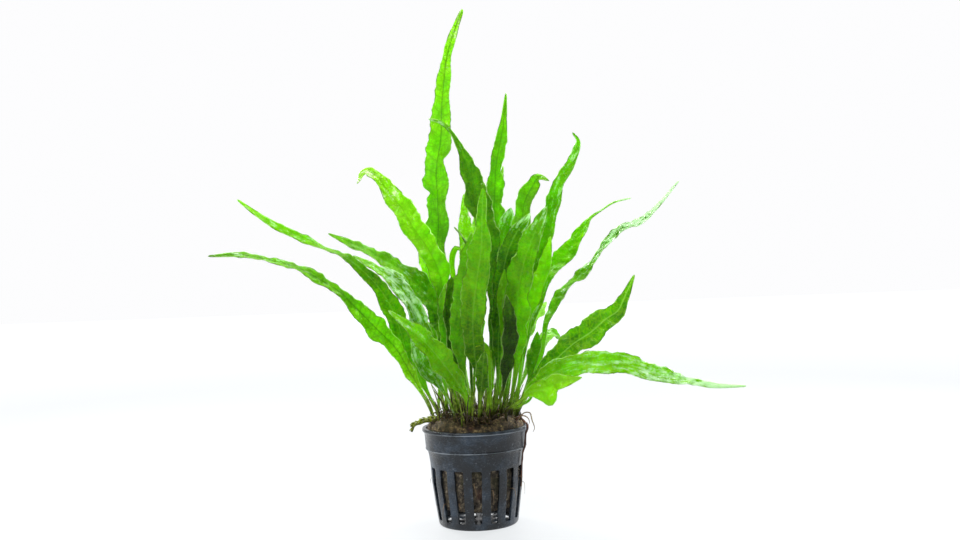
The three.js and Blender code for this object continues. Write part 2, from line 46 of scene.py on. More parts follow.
UP = Vector((0, 0, 1))
BODY = "root"
SEED = 7

# Net pot, the same sizes as the frame's with its corners rounded: its outlines as radius and height
POT_HEIGHT = 48.8
FLOOR_THICKNESS = 1.2
POT_OUTSIDE = [
    (0, 0), (19.0, 0), (19.5, 0.15), (19.85, 0.5), (20.05, 1.0), (21.6, 11.6), (22.9, 22), (23.4, 31),
    (24, 35.5), (24.35, 36.9), (24.75, 37.7), (25.2, 37.95), (25.48, 38.25), (25.52, 38.55),
    (25.42, 38.85), (25.42, 39.3), (25.9, 46.5), (26.1, 46.85),
    (26.7, 47.1), (26.92, 47.4), (26.92, 48.2), (26.75, 48.62), (26.4, POT_HEIGHT),
]
POT_INSIDE = [
    (25.2, POT_HEIGHT), (24.95, 48.6), (24.85, 48.2), (24.1, 39.4), (22.8, 35.5), (22.2, 31), (21.6, 22),
    (18.9, FLOOR_THICKNESS), (0, FLOOR_THICKNESS),
]
POT_SIDES = 192
SLOT_COUNT = 16
SLOT_BOTTOM = 3.3
SLOT_TOP = 29.6
SLOT_BOTTOM_WIDTH = 3.6
SLOT_TOP_WIDTH = 4.9
SLOT_CORNER = 0.5
FLOOR_SLOT_COUNT = 8
FLOOR_SLOT_INNER = 8.4
FLOOR_SLOT_OUTER = 17.2
FLOOR_SLOT_INNER_WIDTH = 4.4
FLOOR_SLOT_OUTER_WIDTH = 10.4
SLOT_CUT_RADII = (14, 28)
# Edges sharper than one angle are rounded, and those sharper than the other still shade as edges
EDGE_ROUNDING = 0.22
EDGE_STEPS = 2
ROUNDED_ANGLE = 50
SHARP_ANGLE = 32
# Heights of the step's edge and of the rim, along which a pale highlight line is painted, and how far from
# them it reaches
HIGHLIGHT_EDGES = [(38.4, 0.35), (47.5, 0.3)]

# Wool plug: its mounds have a place, a height and a spread
CLEARANCE = 0.35
PLUG_BOTTOM = 9
PLUG_SHOULDER = 47
PLUG_CROWN = 51
PLUG_ROLL = 0.35
MOUNDS = [(-15, -17, 3.6, 7), (15, -16, 3.8, 7), (0, 9, 2, 11)]
PLUG_COLUMNS = 180
PLUG_LEVELS = 60
PLUG_RING_STEP = 0.7
PLUG_UNDERSIDE_RADII = (0.5, 8, 15, 18.4)
# Its rolled edge: rings this far inside the wall, with their share of the rise to the crown
PLUG_EDGE = [(0, 0.35), (0.4, 0.62), (1.1, 0.86)]
PLUG_EDGE_WIDTH = 1.9
# Its side's lumps, with their arcs measured at a radius and their spread and reach in square millimetres
LUMP_COUNT = 120
LUMP_ROOM = 0.3
LUMP_RISE = 0.25
LUMP_RADIUS = 20
LUMP_SPREAD = 6
LUMP_REACH = 40

# Stalks: sunk in the wool, upright to a small height above it, and turning from brown to green over a stretch
PEG = 3.6
STALK = 0.7
STALK_TAPER = (1.0, 0.3)
STALK_UPRIGHT = (-PEG, 0.2, 2.6)
GREEN_FROM = 5
GREEN_OVER = 14
# Blades, as thin as real ones. A stalk spreads into a blade over these half widths, and a blade ends bluntly.
BLADE_STEP = 1.0
BLADE_COLUMNS = 9
BLADE_THICKNESS = 0.34
MARGIN_THICKNESS = 0.16
RIB_THICKNESS = 1.1
RIB_WIDTH = 0.8
RIB_TAPER = (1.1, 0.4)
BLADE_FROM = 1
BLADE_OVER = 1.5
TIP_BLUNTNESS = 0.15
TIP_TAPER = 1.6
# Waves as the frame's blades have them, 19 to 26 mm long, as shares of the half width, on a deeper fold
FOLD = 0.26
WAVE_LIFT = 0.18
WAVE_WIDTH = 0.1
WAVE_PITCH = 19
WAVE_PITCH_SPREAD = 7
GOLDEN_SHARE = 0.618
PHASE_STEP = 2.4
# Finer relief: margins frilled and nicked, in radians per millimetre, and tissue puffed between side veins
ARCH = 0.05
FRILL_WIDTH = 0.03
FRILL_LIFT = 0.32
FRILL_RATES = (0.83, 1.37)
NICK_RATES = (2.1, 0.31)
LATERAL_PITCH = 6.5
VEIN_CLIMB = 0.55
PUFF = 0.2
WET_PUFF = 0.25
PUFF_RATE = 1.9

# Every frond as the frame has it: its foot on the plug, and along its midrib the places x, y and z with the
# blade's half width and its turn there. A bite out of a margin has its side, its distance along the frond,
# its share of the half width and its spread, and a share below 0 is a lobe. A blade's tone, at its foot,
# middle and tip, goes from 0, deep green, to 1, pale as new growth; besides each frond's own tone it holds
# painted shade, low on fronds that stand in the plant's shade, and a painted glow, high on backlit tips.
# Its rib's tone goes from -1, darker than the blade, to 1, paler. Its wet sheen, at its foot, middle and
# tip, sets the blade's gloss and a pale white-green sheen painted into its colour, and goes from 0 to 1
# or, where the painted sheen is white, a little more.
FRONDS = {
    "left_low": {
        "foot": (-21, -1), "tones": (0.86, 0.52, 0.5), "rib_tone": -0.5, "sheens": (0, 0.35, 0.6),
        "points": [
            (-24, -3, 62, 0.8, 15), (-31, -6, 76, 3, 20), (-38, -11, 90, 3.5, 20),
            (-46, -18, 100, 5.5, 25), (-55, -26, 111, 4, 30), (-61, -30, 118, 2, 35),
            (-70, -35, 125, 3, 40), (-80, -38, 131, 2.5, 50), (-92, -42, 135, 2, 60),
            (-105, -43, 138, 2, 50), (-120, -45, 138, 0.5, 30),
        ],
    },
    "left_long": {
        "foot": (-18, 4), "tones": (0.5, 0.38, 0.68), "rib_tone": 0.3, "sheens": (0.1, 0.4, 0.6),
        "points": [
            (-22, 3, 62, 0.8, 20), (-27, 2, 73, 2.5, 20), (-33, 1, 84, 5, 20), (-36, 1, 97, 6, 20),
            (-40, 0, 109, 5, 20), (-46, -2, 120, 4, 25), (-55, -2, 130, 3, 30), (-64, -3, 137, 2.5, 60),
            (-73, -3, 141, 1.2, 50), (-83, -2, 146, 2.5, 25), (-95, -2, 152, 2, 20),
            (-106, 0, 159, 1.5, 30), (-116, 0, 167, 0.5, 0),
        ],
    },
    "left_upper": {
        "foot": (-12, 9), "tones": (0.2, 0.4, 0.5), "rib_tone": 0.1, "sheens": (0.2, 0.55, 0.3),
        "points": [
            (-12, 9, 68, 0.8, 0), (-14, 11, 87, 3.5, 10), (-16, 12, 101, 5, 20), (-21, 11, 113, 6.5, 35),
            (-27, 8, 121, 6.5, 40), (-34, 5, 128, 5.5, 50), (-42, 2, 133, 5, 55), (-52, -2, 139, 3.5, 50),
            (-62, -3, 144, 2, 40), (-70, -5, 148, 0.5, 30),
        ],
    },
    "left_gloss": {
        "foot": (-15, -7), "tones": (0.45, 0.45, 0.55), "rib_tone": 0.2, "sheens": (0.3, 0.9, 0.6),
        "points": [
            (-14, -7, 68, 0.8, 10), (-18, -11, 83, 3.5, 20), (-23, -18, 97, 4, 20),
            (-27, -22, 108, 4.5, 30), (-31, -26, 117, 5, 40), (-38, -29, 125, 4.5, 50),
            (-45, -29, 130, 3, 50), (-55, -29, 136, 0.5, 40),
        ],
    },
    "left_front": {
        "foot": (-3, -17), "tones": (0.5, 0.62, 0.62), "rib_tone": 0.5, "sheens": (0.5, 0.4, 0.75),
        "points": [
            (-3, -19, 63, 1.5, 10), (-8, -26, 74, 4.5, 20), (-14, -34, 84, 6, 25), (-21, -42, 94, 5.5, 30),
            (-27, -48, 101, 3.5, 30), (-37, -52, 110, 0.5, 30),
        ],
    },
    "left_short": {
        "foot": (-9, -13), "tones": (0.4, 0.45, 0.5), "rib_tone": 0.3, "sheens": (0.7, 0.7, 0.8),
        "points": [
            (-14, -14, 66, 0.8, 10), (-18, -19, 74, 3, 20), (-23, -26, 81, 4, 20), (-26, -34, 90, 3, 20),
            (-28, -44, 99, 0.5, 30),
        ],
    },
    "left_pale": {
        "foot": (-19, 8), "tones": (0.5, 0.65, 0.75), "rib_tone": 0, "sheens": (0.3, 0.4, 0.4),
        "points": [
            (-18, 16, 71, 0.8, 0), (-19, 22, 91, 2, 10), (-20, 25, 110, 3, 20), (-22, 26, 122, 3, 30),
            (-25, 28, 132, 2.5, 30), (-27, 29, 139, 0.5, 30),
        ],
    },
    "left_broad": {
        "foot": (-8, 3), "tones": (0.56, 0.75, 0.9), "rib_tone": -0.2, "sheens": (0, 0, 0),
        "points": [
            (-11, 2, 72, 0.8, 0), (-13, 1, 95, 1.5, 10), (-14, 0, 113, 3.5, 20), (-15, -2, 125, 5.5, 25),
            (-20, -3, 138, 6, 25), (-27, -5, 149, 6, 25), (-33, -6, 160, 6, 20), (-39, -6, 168, 4, 20),
            (-45, -8, 176, 3, 25), (-50, -8, 178, 2.5, 40), (-54, -10, 172, 1, 60),
        ],
    },
    "tallest": {
        "foot": (-11, 14), "tones": (0.48, 0.62, 0.85), "rib_tone": -0.5, "sheens": (0, 0, 0),
        "points": [
            (-13, 15, 73, 0.8, 0), (-15, 21, 97, 3.5, -10), (-16, 22, 120, 4.5, -20),
            (-17, 22, 138, 5.5, -25), (-16, 21, 151, 6, -28), (-16, 21, 165, 7, -28),
            (-16, 21, 181, 7, -25), (-13, 19, 196, 6.5, -20), (-12, 19, 211, 5, -15),
            (-10, 18, 227, 3.5, -10), (-8, 18, 239, 2.5, 0), (-4, 16, 251, 2, 0), (1, 16, 263, 1, 0),
        ],
        "bites": [(1, 121, 0.6, 2.6), (-1, 139, 0.3, 3.2)],
    },
    "behind_pale": {
        "foot": (-5, 17), "tones": (0.6, 0.75, 0.85), "rib_tone": 0, "sheens": (0.2, 0.4, 0.5),
        "points": [
            (-5, 19, 75, 0.8, 0), (-3, 22, 96, 2.5, 20), (-2, 26, 117, 5, 30), (-1, 29, 135, 5, 30),
            (-2, 31, 151, 4.5, 30), (-2, 32, 168, 0.5, 20),
        ],
    },
    "centre_whip": {
        "foot": (6, -2), "tones": (0.28, 0.33, 0.45), "rib_tone": 0.1, "sheens": (0, 0.1, 0.8),
        "points": [
            (9, -2, 69, 0.8, 0), (11, -4, 92, 3, 15), (12, -6, 112, 3.5, 20), (11, -8, 132, 4.5, 25),
            (9, -11, 148, 6, 25), (5, -13, 162, 6.5, 25), (2, -14, 175, 5, 20), (-2, -16, 186, 2, 20),
            (-6, -19, 194, 1, 20), (-11, -21, 199, 1, 20), (-17, -22, 201, 0.5, 0),
        ],
    },
    "centre_front": {
        "foot": (3, -13), "tones": (0.15, 0.52, 0.42), "rib_tone": 0.35, "sheens": (0.15, 0.15, 0.25),
        "points": [
            (3, -15, 70, 0.8, 0), (1, -23, 88, 4.5, -10), (1, -32, 106, 6, -18), (3, -38, 120, 6.5, -20),
            (6, -43, 137, 5.5, -20), (7, -48, 151, 2.5, -15), (8, -53, 164, 1.5, -10),
        ],
    },
    "centre_left": {
        "foot": (-3, -8), "tones": (0.35, 0.45, 0.5), "rib_tone": 0, "sheens": (0.1, 0.1, 0.2),
        "points": [
            (-4, -10, 70, 0.8, 0), (-6, -15, 88, 4, -15), (-5, -22, 103, 6, -30), (-3, -29, 118, 5, -30),
            (-1, -34, 131, 4, -25), (2, -37, 145, 0.5, 0),
        ],
    },
    "centre_tall": {
        "foot": (9, 12), "tones": (0.42, 0.54, 0.6), "rib_tone": -0.3, "sheens": (0, 0.1, 0.1),
        "points": [
            (13, 14, 75, 0.8, 0), (14, 19, 101, 3.5, 15), (14, 18, 122, 5, 30), (15, 18, 142, 5, 30),
            (14, 16, 160, 5, 30), (15, 16, 174, 4.5, 25), (16, 14, 183, 3.5, 20), (18, 14, 192, 3.5, 15),
            (20, 13, 202, 2, 10), (22, 13, 218, 0.5, 0),
        ],
        "bites": [(-1, 132, 0.4, 3)],
    },
    "crinkled": {
        "foot": (14, 5), "tones": (0.4, 0.45, 0.55), "rib_tone": 0.2, "sheens": (0.1, 0.3, 1),
        "points": [
            (17, 6, 76, 0.8, 0), (16, 6, 101, 3, 15), (16, 6, 122, 5, 25), (17, 5, 139, 5.5, 25),
            (20, 5, 151, 4.5, 20), (22, 3, 158, 2.5, 10),
        ],
    },
    "right_fold": {
        "foot": (10, -8), "tones": (0.25, 0.25, 0.4), "rib_tone": 0.5, "sheens": (0, 0.2, 1),
        "points": [
            (12, -8, 70, 0.8, 0), (13, -13, 92, 3.5, 15), (15, -18, 112, 5, 20), (17, -21, 128, 5, 20),
            (21, -26, 140, 4.5, 20), (26, -29, 148, 3, 20), (30, -32, 153, 0.5, 20),
        ],
    },
    "right_nod": {
        "foot": (14, 0), "tones": (0.4, 0.55, 0.6), "rib_tone": -0.4, "sheens": (0, 0.1, 0.3),
        "points": [
            (18, 0, 76, 0.8, 0), (20, 0, 99, 3, -15), (22, -2, 119, 5, -25), (25, -2, 136, 5, -25),
            (27, -3, 151, 4.5, -20), (29, -5, 161, 4.5, -20), (33, -6, 168, 3.5, -25),
            (36, -8, 172, 2.5, -30), (41, -10, 170, 0.5, -40),
        ],
    },
    "right_tall": {
        "foot": (18, 4), "tones": (0.45, 0.52, 0.55), "rib_tone": 0, "sheens": (0.2, 0.6, 0.6),
        "points": [
            (24, 8, 72, 0.8, 0), (27, 9, 93, 2.5, -15), (30, 8, 113, 4, -25), (35, 8, 131, 4, -25),
            (40, 6, 146, 4, -25), (44, 5, 160, 4, -25), (47, 3, 170, 3, -20), (53, 2, 179, 2.5, -15),
            (56, 0, 186, 2, -20), (57, -2, 190, 1, -20), (54, -5, 194, 0.5, -30),
        ],
    },
    "right_front": {
        "foot": (16, -9), "tones": (0.5, 0.5, 0.42), "rib_tone": 0.2, "sheens": (0.05, 0.15, 0.75),
        "points": [
            (20, -11, 69, 0.8, 0), (22, -18, 89, 4, -10), (22, -25, 104, 6.5, -20),
            (23, -30, 117, 6.5, -22), (26, -35, 130, 6, -22), (31, -40, 143, 4.5, -20),
            (37, -45, 155, 1, -20),
        ],
    },
    "right_pale": {
        "foot": (21, 0), "tones": (0.6, 0.7, 0.75), "rib_tone": 0.1, "sheens": (0.3, 0.35, 0.3),
        "points": [
            (23, 0, 70, 0.8, 0), (25, -1, 86, 1, -10), (27, -5, 99, 2, -20), (30, -6, 110, 4, -25),
            (33, -10, 118, 4.5, -25), (37, -13, 128, 3.5, -25), (39, -16, 136, 2, -20),
            (40, -19, 142, 0.5, -10),
        ],
    },
    "right_whip": {
        "foot": (20, 8), "tones": (0.5, 0.6, 0.6), "rib_tone": 0, "sheens": (0.7, 0.4, 1),
        "points": [
            (24, 12, 72, 0.8, 0), (29, 16, 93, 1.5, -10), (35, 19, 110, 3, -20), (40, 19, 124, 4.5, -25),
            (47, 21, 130, 4.5, -25), (53, 21, 137, 4.5, -25), (59, 21, 145, 3, -25), (64, 22, 152, 1, -30),
            (70, 22, 156, 0.5, -20), (77, 22, 160, 0.5, -10), (86, 22, 162, 0.5, 0),
        ],
    },
    "right_thread": {
        "foot": (12, 17), "tones": (0.45, 0.4, 0.3), "rib_tone": 0, "sheens": (0.3, 0.5, 1.2),
        "points": [
            (28, 17, 58, 0.8, 0), (33, 19, 72, 1, 0), (37, 21, 86, 1, -10), (39, 23, 98, 1.5, -20),
            (43, 26, 105, 2.5, -30), (47, 28, 112, 3, -35), (53, 30, 118, 2, -50), (59, 32, 122, 3.5, -30),
            (65, 34, 128, 2, -55), (73, 36, 138, 2.5, -50), (83, 39, 147, 2.5, -40),
            (93, 41, 150, 2.5, -40), (102, 43, 157, 1.5, -40), (116, 45, 172, 0.5, -20),
        ],
    },
    "right_small": {
        "foot": (21, -4), "tones": (0.35, 0.35, 0.5), "rib_tone": 0, "sheens": (0.3, 0.5, 0.5),
        "points": [
            (24, -4, 62, 0.8, 0), (28, -3, 72, 1, 0), (30, -3, 82, 3, -15), (32, -2, 88, 3, -15),
            (33, -2, 95, 0.5, 0),
        ],
    },
    "right_dark": {
        "foot": (18, -6), "tones": (0.3, 0.38, 0.42), "rib_tone": 0.9, "sheens": (0.2, 0.1, 0.25),
        "points": [
            (24, -8, 63, 0.8, 0), (28, -10, 70, 1.5, -10), (34, -12, 76, 3.5, -15), (41, -14, 82, 5, -20),
            (49, -16, 89, 6.5, -25), (58, -19, 95, 6.5, -25), (65, -21, 101, 6, -25),
            (71, -23, 105, 4, -20), (74, -25, 111, 2.5, -15), (79, -27, 122, 0.5, -10),
        ],
    },
    "right_long": {
        "foot": (16, -13), "tones": (0.55, 0.62, 0.6), "rib_tone": 0.5, "sheens": (0.4, 0.65, 1.15),
        "points": [
            (23, -15, 60, 0.8, -10), (27, -19, 68, 2, -20), (35, -23, 74, 5, -20), (46, -27, 79, 5.5, -20),
            (58, -31, 81, 5.5, -20), (72, -32, 80, 5, -20), (86, -32, 75, 4.5, -30),
            (101, -30, 71, 2.5, -40), (114, -29, 68, 1.5, -30), (130, -29, 67, 0.5, -20),
        ],
    },
    "right_torn": {
        "foot": (15.5, -17), "tones": (0.66, 0.76, 0.76), "rib_tone": 0.3, "sheens": (0.15, 0.1, 0.15),
        "points": [
            (23, -19, 63, 0.8, 0), (27, -22, 67, 2.5, -10), (31, -25, 68, 4, -15), (36, -28, 69, 5.5, -20),
            (39, -32, 72, 5, -20), (43, -35, 73, 3, -20), (51, -38, 75, 0.5, -20),
        ],
        "bites": [(-1, 32.5, -0.45, 2.5), (-1, 36.5, 0.3, 2)],
    },
    "centre_dark": {
        "foot": (9, -15), "tones": (0.0, 0.06, 0.18), "rib_tone": 0, "sheens": (0.1, 0.1, 0.2),
        "points": [
            (14, -17, 67, 0.8, 0), (16, -21, 79, 3, 15), (18, -28, 91, 4, 25), (18, -34, 103, 4, 25),
            (17, -38, 115, 0.5, 10),
        ],
    },
    "front_short": {
        "foot": (2, -19), "tones": (0.14, 0.22, 0.32), "rib_tone": 0.3, "sheens": (0.1, 0.1, 0.3),
        "points": [
            (3, -20, 63, 0.8, 0), (4, -25, 72, 3.5, -15), (5, -32, 82, 3, -20), (6, -38, 89, 1, -10),
        ],
    },
    "left_dark": {
        "foot": (-7, -8), "tones": (0.1, 0.18, 0.3), "rib_tone": 0, "sheens": (0, 0.1, 0.2),
        "points": [
            (-8, -8, 68, 0.8, 0), (-9, -9, 85, 3, 15), (-10, -9, 100, 4, 25), (-10, -10, 113, 3.5, 25),
            (-9, -10, 124, 1.5, 10),
        ],
    },
    "left_thin": {
        "foot": (-14, 1), "tones": (0.4, 0.45, 0.5), "rib_tone": 0, "sheens": (0, 0.2, 0.3),
        "points": [
            (-14, -2, 70, 0.8, 0), (-13, -4, 87, 2, -20), (-14, -6, 102, 3, -30), (-14, -6, 112, 2.5, -30),
            (-12, -5, 121, 0.5, -10),
        ],
    },
    "back_left": {
        "foot": (-16, 14), "tones": (0.4, 0.5, 0.6), "rib_tone": 0.2, "sheens": (0.1, 0.3, 0.5),
        "points": [
            (-18, 18, 70, 0.8, 0), (-20, 26, 95, 3.5, 30), (-20, 36, 120, 5.5, 50), (-19, 46, 142, 5, 50),
            (-17, 54, 160, 0.5, 30),
        ],
    },
    "back_middle": {
        "foot": (2, 20), "tones": (0.35, 0.45, 0.5), "rib_tone": 0.3, "sheens": (0.1, 0.3, 0.3),
        "points": [
            (3, 25, 75, 0.8, 0), (4, 34, 100, 3, 20), (5, 45, 125, 5, 25), (5, 55, 146, 5, 25),
            (4, 64, 160, 0.5, 0),
        ],
    },
    "back_right": {
        "foot": (16, 13), "tones": (0.4, 0.5, 0.5), "rib_tone": -0.2, "sheens": (0, 0.2, 0.3),
        "points": [
            (19, 18, 72, 0.8, 0), (22, 26, 95, 3.5, -30), (25, 35, 118, 5, -50), (28, 44, 138, 4.5, -50),
            (31, 52, 154, 0.5, -30),
        ],
    },
    "back_low_left": {
        "foot": (-9, 19), "tones": (0.4, 0.5, 0.6), "rib_tone": 0.3, "sheens": (0.2, 0.5, 0.6),
        "points": [
            (-13, 26, 64, 0.8, 0), (-20, 38, 79, 4, 25), (-26, 50, 92, 5.5, 40), (-31, 63, 102, 4.5, 40),
            (-35, 76, 108, 0.5, 20),
        ],
    },
    "back_low_right": {
        "foot": (7, 20), "tones": (0.35, 0.45, 0.6), "rib_tone": 0.2, "sheens": (0.1, 0.3, 0.5),
        "points": [
            (13, 29, 64, 0.8, 0), (22, 41, 80, 4, -25), (30, 53, 93, 5, -45), (37, 65, 102, 4.5, -45),
            (43, 77, 107, 0.5, -20),
        ],
    },
    "back_inner": {
        "foot": (-1, 14), "tones": (0.35, 0.5, 0.6), "rib_tone": 0, "sheens": (0, 0.1, 0.2),
        "points": [
            (1, 18, 80, 0.8, 0), (4, 25, 110, 3, 50), (5, 33, 140, 4.5, 70), (5, 39, 165, 3.5, 60),
            (5, 43, 182, 0.5, 30),
        ],
    },
    "back_tall": {
        "foot": (6, 15), "tones": (0.4, 0.5, 0.6), "rib_tone": -0.3, "sheens": (0, 0.2, 0.2),
        "points": [
            (9, 19, 85, 0.8, 0), (12, 27, 115, 3, -50), (14, 36, 142, 4.5, -65), (17, 44, 166, 3.5, -60),
            (20, 50, 184, 0.5, -30),
        ],
    },
    "right_bud": {
        "foot": (22, 3.5), "tones": (0.5, 0.6, 0.65), "rib_tone": 0, "sheens": (0.2, 0.4, 0.4),
        "points": [
            (26, 4, 62, 0.8, 0), (31, 5, 74, 1, 0), (35, 5, 84, 1.5, 20), (36, 6, 89, 1.5, 20),
            (37, 6, 94, 0.5, 0),
        ],
    },
    "centre_lime": {
        "foot": (13, -12), "tones": (0.6, 0.7, 0.75), "rib_tone": 0, "sheens": (0.1, 0.2, 0.3),
        "points": [
            (13, -14, 70, 0.8, 0), (15, -17, 87, 1, 0), (15, -19, 102, 1.5, 15), (15, -22, 113, 2.5, 20),
            (16, -24, 120, 2.5, 20), (17, -27, 127, 0.5, 0),
        ],
    },
    "front_lime": {
        "foot": (6, -18), "tones": (0.6, 0.7, 0.75), "rib_tone": 0, "sheens": (0.1, 0.2, 0.3),
        "points": [
            (7, -19, 64, 0.8, 0), (8, -20, 71, 2.5, 15), (8, -21, 79, 2, 20), (9, -22, 88, 0.5, 0),
        ],
    },
    "centre_tendril": {
        "foot": (-1, -12.5), "tones": (0.15, 0.15, 0.2), "rib_tone": 0, "sheens": (0, 0.1, 0.2),
        "points": [
            (-1, -8, 70, 0.8, 0), (-1, -7, 97, 1, 20), (1, -6, 127, 1.5, 30), (0, -6, 137, 1, 30),
            (-3, -5, 144, 0.5, 40), (-7, -4, 149, 0.5, 20),
        ],
    },
    "back_arch": {
        "foot": (-3, 8), "tones": (0.45, 0.55, 0.6), "rib_tone": 0.3, "sheens": (0.2, 0.5, 0.7),
        "points": [
            (-8, 18, 74, 0.8, 0), (-14, 33, 98, 4, 40), (-21, 48, 114, 5, 60), (-30, 61, 121, 4, 60),
            (-38, 71, 118, 0.5, 40),
        ],
    },
    "back_lean": {
        "foot": (16.5, 9), "tones": (0.3, 0.45, 0.55), "rib_tone": 0.2, "sheens": (0.1, 0.3, 0.4),
        "points": [
            (24, 19, 66, 0.8, 0), (32, 31, 80, 3.5, -30), (39, 43, 88, 4.5, -50), (45, 55, 90, 3.5, -50),
            (50, 66, 86, 0.5, -30),
        ],
    },
    "back_reach": {
        "foot": (-1.5, 21.5), "tones": (0.45, 0.55, 0.65), "rib_tone": 0.3, "sheens": (0.1, 0.4, 0.6),
        "points": [
            (-4, 32, 68, 0.8, 0), (-8, 48, 84, 4.5, 25), (-12, 63, 93, 5, 45), (-15, 78, 95, 0.5, 30),
        ],
    },
}

# Young fronds too small for the frame: three pale croziers between the grown ones
CROZIERS = {
    "young_hook": {
        "foot": (-3, 14), "tones": (0.6, 0.75, 0.8), "rib_tone": 0, "sheens": (0, 0.1, 0.1),
        "points": [
            (-5, 18, 75, 0.8, 0), (-7, 20, 100, 1, 10), (-8, 20, 118, 1.3, 20), (-9.5, 20, 129, 1.6, 20),
            (-8.7, 20, 136, 1.6, 10), (-6.6, 20, 139, 1.4, 0), (-4.4, 20, 137.5, 0.4, 0),
        ],
    },
    "young_curl": {
        "foot": (8.5, -16), "tones": (0.6, 0.75, 0.8), "rib_tone": 0, "sheens": (0, 0.2, 0.3),
        "points": [
            (8, -20, 65, 0.8, 0), (8, -22, 80, 1.1, 10), (7, -23, 88.5, 1.8, 20),
            (4.5, -24, 91.5, 1.5, 30), (1.5, -24, 89.8, 0.4, 30),
        ],
    },
    "young_twist": {
        "foot": (17, -8.5), "tones": (0.5, 0.6, 0.65), "rib_tone": 0, "sheens": (0.1, 0.4, 0.5),
        "points": [
            (19, -11, 66, 0.8, 0), (21, -13, 80, 1, 20), (22, -15, 90, 1.2, 30), (23, -16, 96, 1.5, 40),
            (25, -16, 97.5, 1.2, 20), (25.5, -16, 94.5, 0.4, 0),
        ],
    },
}

# Rhizome, its half sunk branches and the roots: routes on the wool have no heights
RHIZOME_ROUTE = [(2, -3.5), (-5, -3), (-12, -3.2), (-18, -4), (-23, -5)]
RHIZOME_TIP = [(-27.5, -5.2, 51.9), (-30.6, -5.2, 50.6), (-32, -5, 47.4)]
RHIZOME_RADII = [1.7, 1.9, 1.9, 1.7, 1.5, 1.2, 1.0, 0.6]
RHIZOME_SCALES = 110
BRANCHES = [
    [(-17, -8), (-11, -10), (-4, -8.5), (3, -10), (8, -8)],
    [(4, -4), (10, -6.5), (16, -5), (21, -8)],
    [(-7, 6), (0, 10), (9, 8), (15, 11)],
    [(-17, 9), (-12, 3), (-6, 0)],
]
BRANCH_SCALES = 60
SCALE_RADII = [0.42, 0.34, 0.06]
ROOT_FOOT = (20.5, -9.5)
ROOT_RADIUS = 0.45
ROOT_KNOTS = 40
ROOT_ROUTE = [
    (22.2, -9.7, 53.4), (24.3, -10.1, 51.4), (25.7, -10.5, 49.7), (25.8, -10.7, 47.8), (24.9, -10.4, 45.4),
    (24.5, -10.2, 42), (24.2, -10, 39), (23.2, -9.7, 36.2), (22.8, -9.4, 33), (22.3, -9.3, 28.8),
    (22, -9.2, 24), (21.6, -9.1, 19),
]
PALE_ROOTS = [
    [(21.5, -9, 52.5), (24.6, -9.2, 55.4), (27.4, -9, 55.2), (28.3, -9, 51.6), (29.4, -9, 47.6),
     (28.6, -9, 45.8)],
    [(21, -11, 52.5), (23.6, -12, 54.4), (26.2, -12.4, 53.2), (27, -12.5, 50.4)],
]
PALE_ROOT_RADII = [0.42, 0.3, 0.36, 0.24, 0.12]
SLOT_HAIRS = 14
SLOT_HAIR_HEIGHTS = (12, 28)
SLOT_HAIR_RADII = [0.13, 0.11, 0.05]

# Trim strewn over the wool: how many of each and how far from the pot's axis
FIBRE_COUNT = 420
FIBRE_REACH = 23.5
TANGLE_COUNT = 520
TANGLE_REACH = 22
TANGLE_LIMIT = 23.5
DEAD_SCALE_COUNT = 480
DEAD_SCALE_REACH = 21.5
SHOOT_REACH = 21
SHOOT_LEAN = 0.16
# The mounds stay bare in front of this line where they stand this far above the crown
BARE_FRONT = -11
BARE_RISE = 1.3
BEHIND_MOUND = 7

# Camera, read off the pot's two ellipses: 520 mm in front of the pot's axis, level, rolled a little
CAMERA_PLACE = (5.2, -520, 127)
CAMERA_LENS = 38.6
CAMERA_SENSOR = 36
CAMERA_ROLL = 2.1

# Light of the white studio, where 1 is as bright as the white floor
BEHIND = 0.99
BEFORE = 0.2
ABOVE = 0.8
# The table reaches far behind the plant, and lies a hair under the pot's base
TABLE_SIDE = 2000
TABLE_FRONT = -1200
TABLE_BACK = 3000
TABLE_GAP = 0.2


# Helpers

def mix(a, b, share):
    """Value at a share of the way from one to the other."""
    return a + (b - a) * share


def clamp(value, low=0.0, high=1.0):
    """Value held between two limits."""
    return min(max(value, low), high)


def along(values, index):
    """Value of a list at a fractional index, held at both ends."""
    held = clamp(index, 0, len(values) - 1)
    low = min(int(held), len(values) - 2)
    return mix(values[low], values[low + 1], held - low)


class Curve:
    """Centripetal Catmull-Rom curve through points, read by its length."""

    SAMPLES = 24

    def __init__(self, points):
        self.points = [Vector(p) for p in points]
        first, last = self.points[0], self.points[-1]
        ends = [2 * first - self.points[1], *self.points, 2 * last - self.points[-2]]
        self.places = []
        self.indices = []
        for i in range(len(self.points) - 1):
            steps = self.SAMPLES + (i == len(self.points) - 2)
            for k in range(steps):
                share = k / self.SAMPLES
                self.places.append(self._span(ends[i:i + 4], share))
                self.indices.append(i + share)
        gaps = [(b - a).length for a, b in zip(self.places, self.places[1:])]
        self.reach = np.concatenate([[0], np.cumsum(gaps)])
        self.length = float(self.reach[-1])

    @staticmethod
    def _span(four, share):
        p0, p1, p2, p3 = four
        d0, d1, d2 = ((b - a).length ** 0.5 or 1 for a, b in ((p0, p1), (p1, p2), (p2, p3)))
        m1 = ((p1 - p0) / d0 - (p2 - p0) / (d0 + d1) + (p2 - p1) / d1) * d1
        m2 = ((p2 - p1) / d1 - (p3 - p1) / (d1 + d2) + (p3 - p2) / d2) * d1
        s, s2, s3 = share, share ** 2, share ** 3
        return p1 * (2 * s3 - 3 * s2 + 1) + m1 * (s3 - 2 * s2 + s) + p2 * (3 * s2 - 2 * s3) + m2 * (s3 - s2)

    def at(self, distance):
        """Place, direction and fractional point index at a distance along the curve."""
        distance = clamp(distance, 0, self.length)
        low = clamp(int(np.searchsorted(self.reach, distance)) - 1, 0, len(self.places) - 2)
        near, far = self.places[low], self.places[low + 1]
        share = (distance - self.reach[low]) / max(self.reach[low + 1] - self.reach[low], 1e-9)
        index = mix(self.indices[low], self.indices[low + 1], share)
        return near.lerp(far, share), (far - near).normalized(), index


